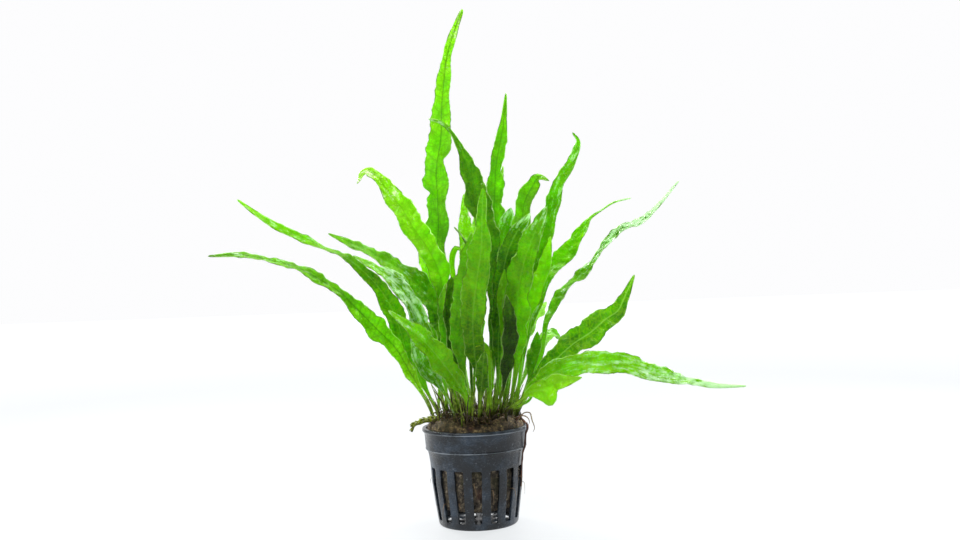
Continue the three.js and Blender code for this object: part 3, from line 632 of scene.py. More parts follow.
class Skin:
    """Vertices, faces and per-vertex values of one mesh, gathered from closed lofted bodies."""

    # A direction that no strand follows for long, to turn strands by
    ASIDE = Vector((0.13, 1, 0.2)).normalized()

    def __init__(self):
        self.vertices = []
        self.faces = []
        self.values = {}

    def loft(self, rings, **values):
        """Closed body over rings of the same count; values hold numbers for every vertex."""
        start = len(self.vertices)
        count = len(rings[0])
        for ring in rings:
            self.vertices.extend(tuple(p) for p in ring)
        for i in range(len(rings) - 1):
            for k in range(count):
                a = start + i * count + k
                b = start + i * count + (k + 1) % count
                self.faces.append((a, b, b + count, a + count))
        last = start + (len(rings) - 1) * count
        self.faces.append(tuple(start + k for k in reversed(range(count))))
        self.faces.append(tuple(last + k for k in range(count)))
        for name, numbers in values.items():
            self.values.setdefault(name, []).extend(numbers)

    def tube(self, points, radii, sides=6, step=1.0):
        """Closed round strand along points, its radius read from a list."""
        curve = Curve(points)
        count = max(2, round(curve.length / step))
        rings = []
        for i in range(count + 1):
            place, tangent, _ = curve.at(curve.length * i / count)
            across = tangent.cross(self.ASIDE).normalized()
            up = across.cross(tangent)
            radius = along(radii, i / count * (len(radii) - 1))
            turns = [-2 * math.pi * k / sides for k in range(sides)]
            rings.append([place + (across * math.cos(a) + up * math.sin(a)) * radius for a in turns])
        self.loft(rings)

    def piece(self, name, material, slot):
        """The finished piece. Its value "looks" becomes a colour attribute, and its others become UV maps."""
        mesh = bpy.data.meshes.new(name)
        mesh.from_pydata([(x * MM, y * MM, z * MM) for x, y, z in self.vertices], [], self.faces)
        corners = [0] * len(mesh.loops)
        mesh.loops.foreach_get("vertex_index", corners)
        for key, numbers in self.values.items():
            if key == "looks":
                flat = [n for four in numbers for n in four]
                mesh.attributes.new(key, "FLOAT_COLOR", "POINT").data.foreach_set("color", flat)
            else:
                layer = mesh.uv_layers.new(name=key)
                layer.data.foreach_set("uv", [n for corner in corners for n in numbers[corner]])
        mesh.polygons.foreach_set("use_smooth", [True] * len(mesh.polygons))
        mesh.materials.append(material)
        mesh.validate()
        return placed(bpy.data.objects.new(name, mesh))


def linked(thing):
    """The object, put into the scene."""
    bpy.context.scene.collection.objects.link(thing)
    return thing


def placed(piece):
    """The piece, put into the scene on the part's one body."""
    linked(piece)
    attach(piece, BODY)
    return piece


# Materials

def linear(code):
    """Linear colour with alpha from an sRGB hex value."""
    parts = [int(code[i:i + 2], 16) / 255 for i in (1, 3, 5)]
    return (*(c / 12.92 if c <= 0.04045 else ((c + 0.055) / 1.055) ** 2.4 for c in parts), 1.0)


def add(tree, kind, inputs, stops=None, **settings):
    """Adds a node with its settings. Inputs map a socket to a value, another node or one of its outputs.
    By number, Math has its values at 0 to 2, and MapRange its value at 0 and its ranges at 1-2 and 3-4."""
    node = tree.nodes.new("ShaderNode" + kind)
    for key, value in settings.items():
        setattr(node, key, value)
    for key, source in inputs.items():
        if isinstance(source, bpy.types.Node):
            source = source.outputs.get("Result") or source.outputs[0]
        if isinstance(source, bpy.types.NodeSocket):
            tree.links.new(source, node.inputs[key])
        else:
            node.inputs[key].default_value = source
    for position, code in stops or []:
        element = node.color_ramp.elements.new(position)
        element.color = linear(code)
    if stops:
        node.color_ramp.elements.remove(node.color_ramp.elements[0])
        node.color_ramp.elements.remove(node.color_ramp.elements[-1])
    return node


def new_material(name):
    """An empty node material and its tree."""
    material = bpy.data.materials.new(name)
    material.use_nodes = True
    material.node_tree.nodes.clear()
    return material, material.node_tree


def fern_blade():
    """Fresh fern tissue, thin and net-veined, which lets light through and holds a wet film in places.
    To the eye it glows yellow-green against light and is deep green with small white glints before it,
    and where it is wet a pale white-green sheen is painted into its colour."""
    material, tree = new_material("fern_blade")
    place = add(tree, "UVMap", {}, uv_map="blade_mm")
    share = add(tree, "UVMap", {}, uv_map="blade_share")
    looks = add(tree, "Attribute", {}, attribute_name="looks")
    parts = add(tree, "SeparateColor", {0: looks.outputs["Color"]})
    tone, rib_tone, wet_and_sheen = parts.outputs[0], parts.outputs[1], parts.outputs[2]
    axes = add(tree, "SeparateXYZ", {0: place})
    across = add(tree, "Math", {0: axes.outputs["X"]}, operation="ABSOLUTE")

    # Side veins leave the rib every 6.5 mm and climb to the margin, those of one side between the other's
    sway = add(tree, "TexNoise", {"Vector": place, "Scale": 0.16, "Detail": 1.0})
    climb = add(tree, "Math", {0: across, 1: -VEIN_CLIMB, 2: axes.outputs["Y"]}, operation="MULTIPLY_ADD")
    swayed = add(tree, "Math", {0: sway, 1: 5.0, 2: climb}, operation="MULTIPLY_ADD")
    side = add(tree, "Math", {0: axes.outputs["X"], 1: 0.0}, operation="GREATER_THAN")
    shifted = add(tree, "Math", {0: side, 1: LATERAL_PITCH / 2, 2: swayed}, operation="MULTIPLY_ADD")
    gap = add(tree, "Math", {0: shifted, 1: LATERAL_PITCH / 2}, operation="PINGPONG")
    laterals = add(tree, "MapRange", {0: gap, 1: 0.12, 2: 0.5, 3: 1.0, 4: 0.0},
                   interpolation_type="SMOOTHSTEP")
    # The net between them has cells of about 2.4 mm and veins 0.4 mm wide, drawn coarser than real to show
    stray = add(tree, "TexNoise", {"Vector": place, "Scale": 0.5, "Detail": 2.0}).outputs["Color"]
    bent = add(tree, "VectorMath", {0: stray, 1: (2.4, 2.4, 0), 2: place}, operation="MULTIPLY_ADD")
    net = add(tree, "TexVoronoi", {"Vector": bent, "Scale": 0.42}, feature="DISTANCE_TO_EDGE")
    cells = add(tree, "MapRange", {0: net.outputs["Distance"], 1: 0.02, 2: 0.16, 3: 0.7, 4: 0.0},
                interpolation_type="SMOOTHSTEP")
    veins = add(tree, "Math", {0: laterals, 1: cells}, operation="MAXIMUM")
    rib = add(tree, "MapRange", {0: across, 1: 0.12, 2: 0.5, 3: 1.0, 4: 0.0}, interpolation_type="SMOOTHSTEP")

    # Tone wanders in patches about 10 mm across, in streaks along the blade and in mottles of about 1.2 mm
    patch = add(tree, "TexNoise", {"Vector": place, "Scale": 0.1, "Detail": 3.0})
    mottle = add(tree, "TexNoise", {"Vector": place, "Scale": 1.1, "Detail": 3.0, "Roughness": 0.65})
    lengthwise = add(tree, "Mapping", {"Vector": place, "Scale": (0.6, 0.11, 1.0)})
    streaks = add(tree, "TexNoise", {"Vector": lengthwise, "Scale": 1.0, "Detail": 4.0, "Roughness": 0.6})
    patched = add(tree, "Math", {0: patch, 1: 0.5, 2: tone}, operation="MULTIPLY_ADD")
    streaked = add(tree, "Math", {0: streaks, 1: 0.42, 2: patched}, operation="MULTIPLY_ADD")
    mottled = add(tree, "Math", {0: mottle, 1: 0.36, 2: streaked}, operation="MULTIPLY_ADD")
    toned = add(tree, "Math", {0: mottled, 1: 0.625}, operation="SUBTRACT")
    # The tone picks the blade's green, with the painted shade and painted backlit glow that it holds
    green = add(tree, "ValToRGB", {"Fac": toned}, stops=[
        (0.0, "#234700"), (0.2, "#427D00"), (0.42, "#67B200"), (0.65, "#8EDC04"), (0.85, "#AEEA20"),
        (1.0, "#CDF464")])
    # The veins are darker or paler as the rib is, and fade where the blade is deep green
    vein_tone = add(tree, "MapRange", {0: toned, 1: 0.1, 2: 0.35, 3: 0.1, 4: 0.42})
    vein_share = add(tree, "Math", {0: veins, 1: vein_tone}, operation="MULTIPLY")
    vein_colour = add(tree, "Mix", {"Factor": rib_tone, "A": linear("#3C7A00"), "B": linear("#BCE80E")},
                      data_type="RGBA")
    veined = add(tree, "Mix", {"Factor": vein_share, "A": green, "B": vein_colour}, data_type="RGBA")
    # The rib is darker or paler than the blade from frond to frond
    dark_rib = add(tree, "MapRange", {0: rib_tone, 1: 0.5, 2: 0.0, 3: 0.0, 4: 0.85})
    pale_rib = add(tree, "MapRange", {0: rib_tone, 1: 0.5, 2: 1.0, 3: 0.0, 4: 0.7})
    dark_share = add(tree, "Math", {0: rib, 1: dark_rib}, operation="MULTIPLY")
    pale_share = add(tree, "Math", {0: rib, 1: pale_rib}, operation="MULTIPLY")
    darkened = add(tree, "Mix", {"Factor": dark_share, "A": veined, "B": linear("#2B5C07")}, data_type="RGBA")
    ribbed = add(tree, "Mix", {"Factor": pale_share, "A": darkened, "B": linear("#B4E265")}, data_type="RGBA")
    # The margin is a thin line painted pale as a highlight, and it dries brown in stretches
    half = add(tree, "SeparateXYZ", {0: share})
    folded = add(tree, "Math", {0: half.outputs["X"], 1: 1.0}, operation="PINGPONG")
    spread = add(tree, "Math", {0: folded, 1: 2.0, 2: -1.0}, operation="MULTIPLY_ADD")
    edge = add(tree, "Math", {0: spread}, operation="ABSOLUTE")
    whole = add(tree, "Math", {0: across, 1: edge}, operation="DIVIDE")
    inset = add(tree, "Math", {0: whole, 1: across}, operation="SUBTRACT")
    rim = add(tree, "MapRange", {0: inset, 1: 0.1, 2: 0.5, 3: 0.6, 4: 0.0}, interpolation_type="SMOOTHSTEP")
    dried = add(tree, "MapRange", {0: patch, 1: 0.48, 2: 0.56, 3: 0.0, 4: 1.0},
                interpolation_type="SMOOTHSTEP")
    # Painted highlight along the margin in pale green, and real dried brown in stretches
    rim_highlight_and_dried_colour = add(tree, "Mix", {"Factor": dried, "A": linear("#CDEB8E"), "B": linear("#4E4A0C")},
                     data_type="RGBA")
    edged = add(tree, "Mix", {"Factor": rim, "A": ribbed, "B": rim_highlight_and_dried_colour}, data_type="RGBA")
    # Stalks are yellow-green and brown towards their feet
    stalk = add(tree, "TexNoise", {"Vector": place, "Scale": 0.35, "Detail": 3.0})
    rising = add(tree, "MapRange", {0: axes.outputs["Y"], 1: 3.0, 2: 16.0, 3: -0.35, 4: 0.3})
    stalk_tone = add(tree, "Math", {0: stalk, 1: rising}, operation="ADD")
    stalk_green = add(tree, "ValToRGB", {"Fac": stalk_tone}, stops=[
        (0.1, "#1E1508"), (0.35, "#45470D"), (0.6, "#7C981B"), (0.85, "#AFD43C")])
    coloured = add(tree, "Mix", {"Factor": looks.outputs["Alpha"], "A": stalk_green, "B": edged},
                   data_type="RGBA")

    # The wet film lies in patches across the blade and makes it glossier. A painted sheen, pale white-green,
    # is mixed into the colour in streaks and wrinkles where the blade is wettest, for its white glints
    film = add(tree, "TexNoise", {"Vector": place, "Scale": 0.2, "Detail": 4.0})
    soaked = add(tree, "Math", {0: wet_and_sheen, 1: 0.34, 2: film}, operation="MULTIPLY_ADD")
    glossy = add(tree, "MapRange", {0: soaked, 1: 0.54, 2: 0.72, 3: 0.0, 4: 1.0},
                 interpolation_type="SMOOTHSTEP")
    roughness = add(tree, "MapRange", {0: glossy, 1: 0.0, 2: 1.0, 3: 0.3, 4: 0.12})
    wrinkles = add(tree, "TexNoise", {"Vector": place, "Scale": 0.45, "Detail": 3.0, "Distortion": 1.2})
    # Painted sheen: how much of the pale white-green the wet streaks and wrinkles take
    painted_sheen_offset = add(tree, "Math", {0: wet_and_sheen, 1: 0.66, 2: -0.97}, operation="MULTIPLY_ADD")
    streaky = add(tree, "Math", {0: streaks, 1: 1.2, 2: painted_sheen_offset}, operation="MULTIPLY_ADD")
    sheen = add(tree, "Math", {0: wrinkles, 1: 0.5, 2: streaky}, operation="MULTIPLY_ADD")
    painted_sheen_share = add(tree, "MapRange", {0: sheen, 1: 0.28, 2: 0.58, 3: 0.0, 4: 0.85},
                interpolation_type="SMOOTHSTEP")
    painted_sheen_colour = add(tree, "Mix", {"Factor": painted_sheen_share, "A": coloured, "B": linear("#D6F2CE")}, data_type="RGBA")
    low = add(tree, "Math", {0: veins, 1: -0.5, 2: mottle}, operation="MULTIPLY_ADD")
    crinkle = add(tree, "Math", {0: wrinkles, 1: glossy}, operation="MULTIPLY")
    relief = add(tree, "Math", {0: crinkle, 1: 1.0, 2: low}, operation="MULTIPLY_ADD")
    bump = add(tree, "Bump", {"Strength": 0.7, "Distance": 0.0005, "Height": relief})

    skin = add(tree, "BsdfPrincipled", {
        "Base Color": painted_sheen_colour, "Roughness": roughness, "Normal": bump, "IOR": 1.36})
    glow = add(tree, "BsdfTranslucent", {"Color": painted_sheen_colour})
    tissue = add(tree, "MixShader", {0: 0.52, 1: skin, 2: glow})
    add(tree, "OutputMaterial", {"Surface": tissue})
    return material


def moulded_pot():
    """Injection-moulded polypropylene: slate black and satin, with the fine scratches, water marks and dust
    of handling, and a pale highlight line painted along the rim and the step."""
    material, tree = new_material("moulded_polypropylene")
    place = add(tree, "TexCoord", {}).outputs["Object"]
    dust = add(tree, "TexNoise", {"Vector": place, "Scale": 700.0, "Detail": 4.0, "Roughness": 0.7})
    smears = add(tree, "TexNoise", {"Vector": place, "Scale": 90.0, "Detail": 5.0, "Roughness": 0.6})
    slate = add(tree, "ValToRGB", {"Fac": smears}, stops=[
        (0.3, "#02050A"), (0.5, "#0A151F"), (0.7, "#273849")])
    specks = add(tree, "MapRange", {0: dust, 1: 0.6, 2: 0.7, 3: 0.0, 4: 0.6}, interpolation_type="SMOOTHSTEP")
    dusty = add(tree, "Mix", {"Factor": specks, "A": slate, "B": linear("#6F767C")}, data_type="RGBA")
    # Scratches 0.2 mm wide run mostly round the pot
    round_pot = add(tree, "Mapping", {"Vector": place, "Rotation": (0.5, 0.3, 0), "Scale": (1.0, 1.0, 5.0)})
    strokes = add(tree, "TexNoise", {"Vector": round_pot, "Scale": 330.0, "Detail": 3.0, "Distortion": 1.5})
    off_line = add(tree, "Math", {0: strokes, 1: 0.5}, operation="SUBTRACT")
    nearness = add(tree, "Math", {0: off_line}, operation="ABSOLUTE")
    scratch = add(tree, "MapRange", {0: nearness, 1: 0.0, 2: 0.02, 3: 1.0, 4: 0.0})
    handled = add(tree, "MapRange", {0: smears, 1: 0.45, 2: 0.6, 3: 0.1, 4: 0.7})
    worn = add(tree, "Math", {0: scratch, 1: handled}, operation="MULTIPLY")
    scuffed = add(tree, "Mix", {"Factor": worn, "A": dusty, "B": linear("#7B838B")}, data_type="RGBA")
    # A pale highlight line is painted along the step's edge and the rim, patchy with the smears
    height = add(tree, "SeparateXYZ", {0: place}).outputs["Z"]
    edge_highlight = 0
    for edge_height, edge_reach in HIGHLIGHT_EDGES:
        off_edge = add(tree, "Math", {0: height, 1: edge_height * MM}, operation="SUBTRACT")
        gap = add(tree, "Math", {0: off_edge}, operation="ABSOLUTE")
        near = add(tree, "MapRange", {0: gap, 1: 0.0, 2: edge_reach * MM, 3: 1.0, 4: 0.0})
        edge_highlight = add(tree, "Math", {0: near, 1: edge_highlight}, operation="MAXIMUM")
    highlight_patches = add(tree, "MapRange", {0: smears, 1: 0.4, 2: 0.6, 3: 0.15, 4: 0.75})
    # Painted highlight: pale colour where the step's edge and the rim catch the light
    painted_highlight = add(tree, "Math", {0: edge_highlight, 1: highlight_patches}, operation="MULTIPLY")
    edged = add(tree, "Mix", {"Factor": painted_highlight, "A": scuffed, "B": linear("#AEB8C0")}, data_type="RGBA")
    roughness = add(tree, "MapRange", {0: smears, 1: 0.35, 2: 0.65, 3: 0.2, 4: 0.4})
    relief = add(tree, "Math", {0: worn, 1: 0.6, 2: smears}, operation="MULTIPLY_ADD")
    bump = add(tree, "Bump", {"Strength": 0.5, "Distance": 0.0004, "Height": relief})
    shell = add(tree, "BsdfPrincipled", {
        "Base Color": edged, "Roughness": roughness, "Normal": bump, "IOR": 1.49})
    add(tree, "OutputMaterial", {"Surface": shell})
    return material


def mineral_wool():
    """Spun mineral wool, wet and aged: matted fibres in dull grey-brown with algae and reddish stains, with
    painted shade between its tufts, where it is near black, and paler where fibres stand up. Fibres are drawn
    about 0.5 mm wide, as coarse as they need to show."""
    material, tree = new_material("spun_mineral_wool")
    place = add(tree, "TexCoord", {}).outputs["Object"]
    fibres = add(tree, "TexNoise", {"Vector": place, "Scale": 1500.0, "Detail": 5.0, "Roughness": 0.75,
                                    "Distortion": 1.4})
    tufts = add(tree, "TexNoise", {"Vector": place, "Scale": 480.0, "Detail": 4.0, "Roughness": 0.6})
    stains = add(tree, "TexNoise", {"Vector": place, "Scale": 85.0, "Detail": 3.0})
    matted = add(tree, "Math", {0: fibres, 1: 1.2, 2: tufts}, operation="MULTIPLY_ADD")
    # Painted shade: low places of the matted fibres go near black between the tufts, high ones pale
    tuft_shade = add(tree, "MapRange", {0: matted, 1: 0.75, 2: 1.45, 3: 0.0, 4: 1.0})
    wool = add(tree, "ValToRGB", {"Fac": tuft_shade}, stops=[
        (0.15, "#0D0B09"), (0.4, "#37312A"), (0.6, "#645A4B"), (0.78, "#978A72"), (0.93, "#D6CBB4")])
    rust = add(tree, "MapRange", {0: stains, 1: 0.54, 2: 0.68, 3: 0.0, 4: 0.4},
               interpolation_type="SMOOTHSTEP")
    rusty = add(tree, "Mix", {"Factor": rust, "A": wool, "B": linear("#54291C")}, data_type="RGBA")
    algae = add(tree, "MapRange", {0: stains, 1: 0.46, 2: 0.36, 3: 0.0, 4: 0.35},
                interpolation_type="SMOOTHSTEP")
    aged = add(tree, "Mix", {"Factor": algae, "A": rusty, "B": linear("#3B3F14")}, data_type="RGBA")
    # Its top is stained brown by the roots
    height = add(tree, "SeparateXYZ", {0: place}).outputs["Z"]
    top = add(tree, "MapRange", {0: height, 1: 46 * MM, 2: 50 * MM, 3: 0.0, 4: 1.0})
    browned = add(tree, "Mix", {"Factor": top, "A": aged, "B": linear("#FFEFBE")},
                  data_type="RGBA", blend_type="MULTIPLY")
    bump = add(tree, "Bump", {"Strength": 1.0, "Distance": 0.0008, "Height": matted})
    wool_skin = add(tree, "BsdfPrincipled", {"Base Color": browned, "Roughness": 0.9, "Normal": bump})
    add(tree, "OutputMaterial", {"Surface": wool_skin})
    return material


def stem_skin(name, stops, roughness):
    """Skin of a rhizome, stem or root: fleshy when green and corky when brown, streaked and spotted with
    scars about 1 mm apart, which break its gloss."""
    material, tree = new_material(name)
    place = add(tree, "TexCoord", {}).outputs["Object"]
    streaks = add(tree, "TexNoise", {"Vector": place, "Scale": 520.0, "Detail": 4.0, "Roughness": 0.65})
    colour = add(tree, "ValToRGB", {"Fac": streaks}, stops=stops)
    bump = add(tree, "Bump", {"Strength": 0.7, "Distance": 0.0004, "Height": streaks})
    skin = add(tree, "BsdfPrincipled", {
        "Base Color": colour, "Roughness": roughness, "Normal": bump, "IOR": 1.42})
    add(tree, "OutputMaterial", {"Surface": skin})
    return material


def light_table():
    """Opal acrylic table lit from below, and a little more so far off, where the lamps reach it less, so that
    it looks even and hardly any shadow lies on it."""
    material, tree = new_material("opal_acrylic")
    place = add(tree, "TexCoord", {}).outputs["Object"]
    reach = add(tree, "VectorMath", {0: place}, operation="LENGTH").outputs["Value"]
    glow = add(tree, "MapRange", {0: reach, 1: 0.3, 2: 1.6, 3: 0.775, 4: 0.935},
               interpolation_type="SMOOTHSTEP")
    table = add(tree, "BsdfPrincipled", {
        "Base Color": linear("#303132"), "Roughness": 0.6,
        "Emission Color": linear("#FAFDFF"), "Emission Strength": glow})
    add(tree, "OutputMaterial", {"Surface": table})
    return material


# Shapes

def plug_top(x, y):
    """Height of the wool at a place: its crown with a low roll, and its mounds."""
    mounds = sum(rise * math.exp(-((x - middle_x) ** 2 + (y - middle_y) ** 2) / spread ** 2)
                 for middle_x, middle_y, rise, spread in MOUNDS)
    roll = PLUG_ROLL * math.sin(0.9 * x + 0.4 * y) + PLUG_ROLL * math.sin(1.1 * y - 0.5 * x)
    return PLUG_CROWN + roll + mounds


def outline_radius(rising, height):
    """Radius of a rising outline of the pot at a height."""
    radii, heights = zip(*rising)
    return float(np.interp(height, heights, radii))


def bitten(bites, side, distance):
    """Share of a blade's half width that its bites take at one side and distance along it."""
    return sum(share * math.exp(-((distance - middle) / spread) ** 2)
               for bitten_side, middle, share, spread in bites if bitten_side == side)


def build_frond(name, spec, number, material):
    """A stalk and its blade, folded along the rib, waved and frilled at the margins, puffed between veins."""
    foot, tones, rib_tone, sheens = (spec[key] for key in ("foot", "tones", "rib_tone", "sheens"))
    bites = spec.get("bites", [])
    x, y, z, half, turns = zip(*spec["points"])
    ground = plug_top(*foot)
    upright = [(*foot, ground + rise) for rise in STALK_UPRIGHT]
    curve = Curve([*upright, *zip(x, y, z)])
    count = round(curve.length / BLADE_STEP)
    pitch = WAVE_PITCH + WAVE_PITCH_SPREAD * ((number * GOLDEN_SHARE) % 1)
    phase = number * PHASE_STEP
    slow_frill, quick_frill = FRILL_RATES
    quick_nick, slow_nick = NICK_RATES
    sides = [k / BLADE_COLUMNS for k in range(BLADE_COLUMNS, -BLADE_COLUMNS - 1, -1)]
    rings, looks, places, shares = [], [], [], []
    for i in range(count + 1):
        share = i / count
        distance = share * curve.length
        place, tangent, index = curve.at(distance)
        index -= len(upright)
        stalk = clamp(1 + index)
        width = mix(STALK, half[0], stalk) if index < 0 else along(half, index ** 2 if index < 1 else index)
        leafy = clamp((width - BLADE_FROM) / BLADE_OVER)
        wave = 2 * math.pi * distance / pitch
        across = tangent.cross(Vector((0, 1, 0))).normalized()
        across = Matrix.Rotation(math.radians(along(turns, index) * stalk), 3, tangent) @ across
        out = tangent.cross(across)
        tip = min(1, math.sqrt(((1 - share) * curve.length + TIP_BLUNTNESS) / (TIP_TAPER * width)))
        reached = clamp(index / (len(half) - 1)) * 2
        # Wetness sets the puff here, and the gloss and the painted sheen in the material
        wet_and_sheen = along(sheens, reached)
        green = clamp((distance - PEG - GREEN_FROM) / GREEN_OVER)
        looks.extend([(along(tones, reached), 0.5 + rib_tone / 2, wet_and_sheen, green)] * 2 * len(sides))
        top, under = [], []
        for s in sides:
            sign = 1 if s >= 0 else -1
            rise = abs(s)
            frill = math.sin(distance * slow_frill + phase * 3 + sign)
            frill += 0.6 * math.sin(distance * quick_frill + phase * 5 * sign)
            nick = math.sin(distance * quick_nick + phase * 7 * sign)
            nick *= math.sin(distance * slow_nick + phase * sign)
            swell = WAVE_WIDTH * math.sin(wave * 1.3 + phase * sign)
            swell += FRILL_WIDTH * frill + FRILL_WIDTH * nick
            breadth = s * width * (1 + leafy * swell)
            reach = s * width * tip * (1 + leafy * swell) * (1 - bitten(bites, sign, distance))
            fold = FOLD + WAVE_LIFT * math.sin(wave + phase + 1.9 * sign)
            lift = leafy * width * (rise * fold - FOLD / 2)
            lift += leafy * width * ARCH * math.sin(math.pi * rise)
            lift += leafy * tip * FRILL_LIFT * rise ** 2 * frill
            offset = LATERAL_PITCH / 2 if sign > 0 else 0
            climb = (distance - VEIN_CLIMB * rise * width + offset) / LATERAL_PITCH
            puff = math.sin(2 * math.pi * climb) + 0.7 * math.sin(distance * PUFF_RATE + s * 5 + phase)
            lift += leafy * tip * (PUFF + WET_PUFF * wet_and_sheen) * puff * math.sin(math.pi * rise)
            blade = mix(BLADE_THICKNESS, MARGIN_THICKNESS, rise ** 2) / 2
            ridge = RIB_THICKNESS / 2 * mix(*RIB_TAPER, share) * math.exp(-(rise * width / RIB_WIDTH) ** 2)
            round_stalk = STALK * mix(*STALK_TAPER, share) * math.sqrt(max(0.02, 1 - s * s))
            thickness = mix(round_stalk, max(blade, ridge), leafy)
            point = place + across * reach + out * lift
            top.append(point + out * thickness)
            under.append(point - out * thickness)
            places.append((breadth, distance))
            shares.append((0.5 + s / 2, share))
        rings.append(top + under[::-1])
        row = len(sides)
        places.extend(places[-1:-row - 1:-1])
        shares.extend((2 - u, v) for u, v in shares[-1:-row - 1:-1])
    skin = Skin()
    skin.loft(rings, looks=looks, blade_mm=places, blade_share=shares)
    return skin.piece("blade_" + name, material, "leaf")


def finished_mesh(build, name):
    """Mesh of a shape in building, with its faces turned outward."""
    bmesh.ops.recalc_face_normals(build, faces=build.faces)
    mesh = bpy.data.meshes.new(name)
    build.to_mesh(mesh)
    build.free()
    return mesh


def turned_mesh(name, outline, sides):
    """Surface of revolution about Z from (radius, height) points that start and end on the axis."""
    build = bmesh.new()
    turns = [2 * math.pi * k / sides for k in range(sides)]
    rings = []
    for radius, height in outline:
        if radius == 0:
            rings.append([build.verts.new((0, 0, height * MM))])
            continue
        rings.append([build.verts.new(Vector((radius * math.cos(a), radius * math.sin(a), height)) * MM)
                      for a in turns])
    for low, high in zip(rings, rings[1:]):
        for k in range(sides):
            n = (k + 1) % sides
            corners = [low[k % len(low)], low[n % len(low)], high[n % len(high)], high[k % len(high)]]
            build.faces.new(list(dict.fromkeys(corners)))
    return finished_mesh(build, name)


def prism(build, near, far, angle):
    """Closed prism between two outlines of the same count, turned about the pot's axis."""
    spin = Matrix.Rotation(angle, 3, "Z")
    ends = [[build.verts.new(spin @ Vector(point) * MM) for point in outline] for outline in (near, far)]
    build.faces.new(ends[0])
    build.faces.new(list(reversed(ends[1])))
    for k in range(len(near)):
        n = (k + 1) % len(near)
        build.faces.new((ends[0][n], ends[0][k], ends[1][k], ends[1][n]))


def slot_cutter():
    """All wall slots, wider at their tops with small corners, and the wedges between the floor's spokes."""
    build = bmesh.new()
    low, high, corner = SLOT_BOTTOM_WIDTH / 2, SLOT_TOP_WIDTH / 2, SLOT_CORNER
    slot = [(-low + corner, SLOT_BOTTOM), (low - corner, SLOT_BOTTOM), (low, SLOT_BOTTOM + corner),
            (high, SLOT_TOP - corner), (high - corner, SLOT_TOP), (-high + corner, SLOT_TOP),
            (-high, SLOT_TOP - corner), (-low, SLOT_BOTTOM + corner)]
    for i in range(SLOT_COUNT):
        inside, outside = ([(x, -radius, z) for x, z in slot] for radius in SLOT_CUT_RADII)
        prism(build, inside, outside, 2 * math.pi * i / SLOT_COUNT)
    low, high = FLOOR_SLOT_INNER_WIDTH / 2, FLOOR_SLOT_OUTER_WIDTH / 2
    wedge = [(FLOOR_SLOT_INNER, -low), (FLOOR_SLOT_OUTER, -high),
             (FLOOR_SLOT_OUTER, high), (FLOOR_SLOT_INNER, low)]
    for i in range(FLOOR_SLOT_COUNT):
        under, over = ([(x, y, z) for x, y in wedge] for z in (-1, 2 * FLOOR_THICKNESS))
        prism(build, under, over, 2 * math.pi * (i + 0.5) / FLOOR_SLOT_COUNT)
    return bpy.data.objects.new("slot_cutter", finished_mesh(build, "slot_cutter"))


def build_pot(material):
    """The pot turned from its outline, its slots cut through and its edges softened."""
    turned = turned_mesh("pot_shell", [*POT_OUTSIDE, *POT_INSIDE], POT_SIDES)
    shell = placed(bpy.data.objects.new("pot_shell", turned))
    cutter = linked(slot_cutter())
    cut = shell.modifiers.new("slots", "BOOLEAN")
    cut.object = cutter
    cut.operation = "DIFFERENCE"
    cut.solver = "EXACT"
    bevel = shell.modifiers.new("soft_edges", "BEVEL")
    bevel.width = EDGE_ROUNDING * MM
    bevel.segments = EDGE_STEPS
    bevel.limit_method = "ANGLE"
    bevel.angle_limit = math.radians(ROUNDED_ANGLE)
    finished = bpy.data.meshes.new_from_object(shell.evaluated_get(bpy.context.evaluated_depsgraph_get()))
    shell.modifiers.clear()
    shell.data = finished
    bpy.data.objects.remove(cutter)
    finished.name = "pot_shell"
    finished.materials.clear()
    finished.materials.append(material)
    finished.polygons.foreach_set("use_smooth", [True] * len(finished.polygons))
    finished.set_sharp_from_angle(angle=math.radians(SHARP_ANGLE))
    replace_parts(shell, "net_pot")


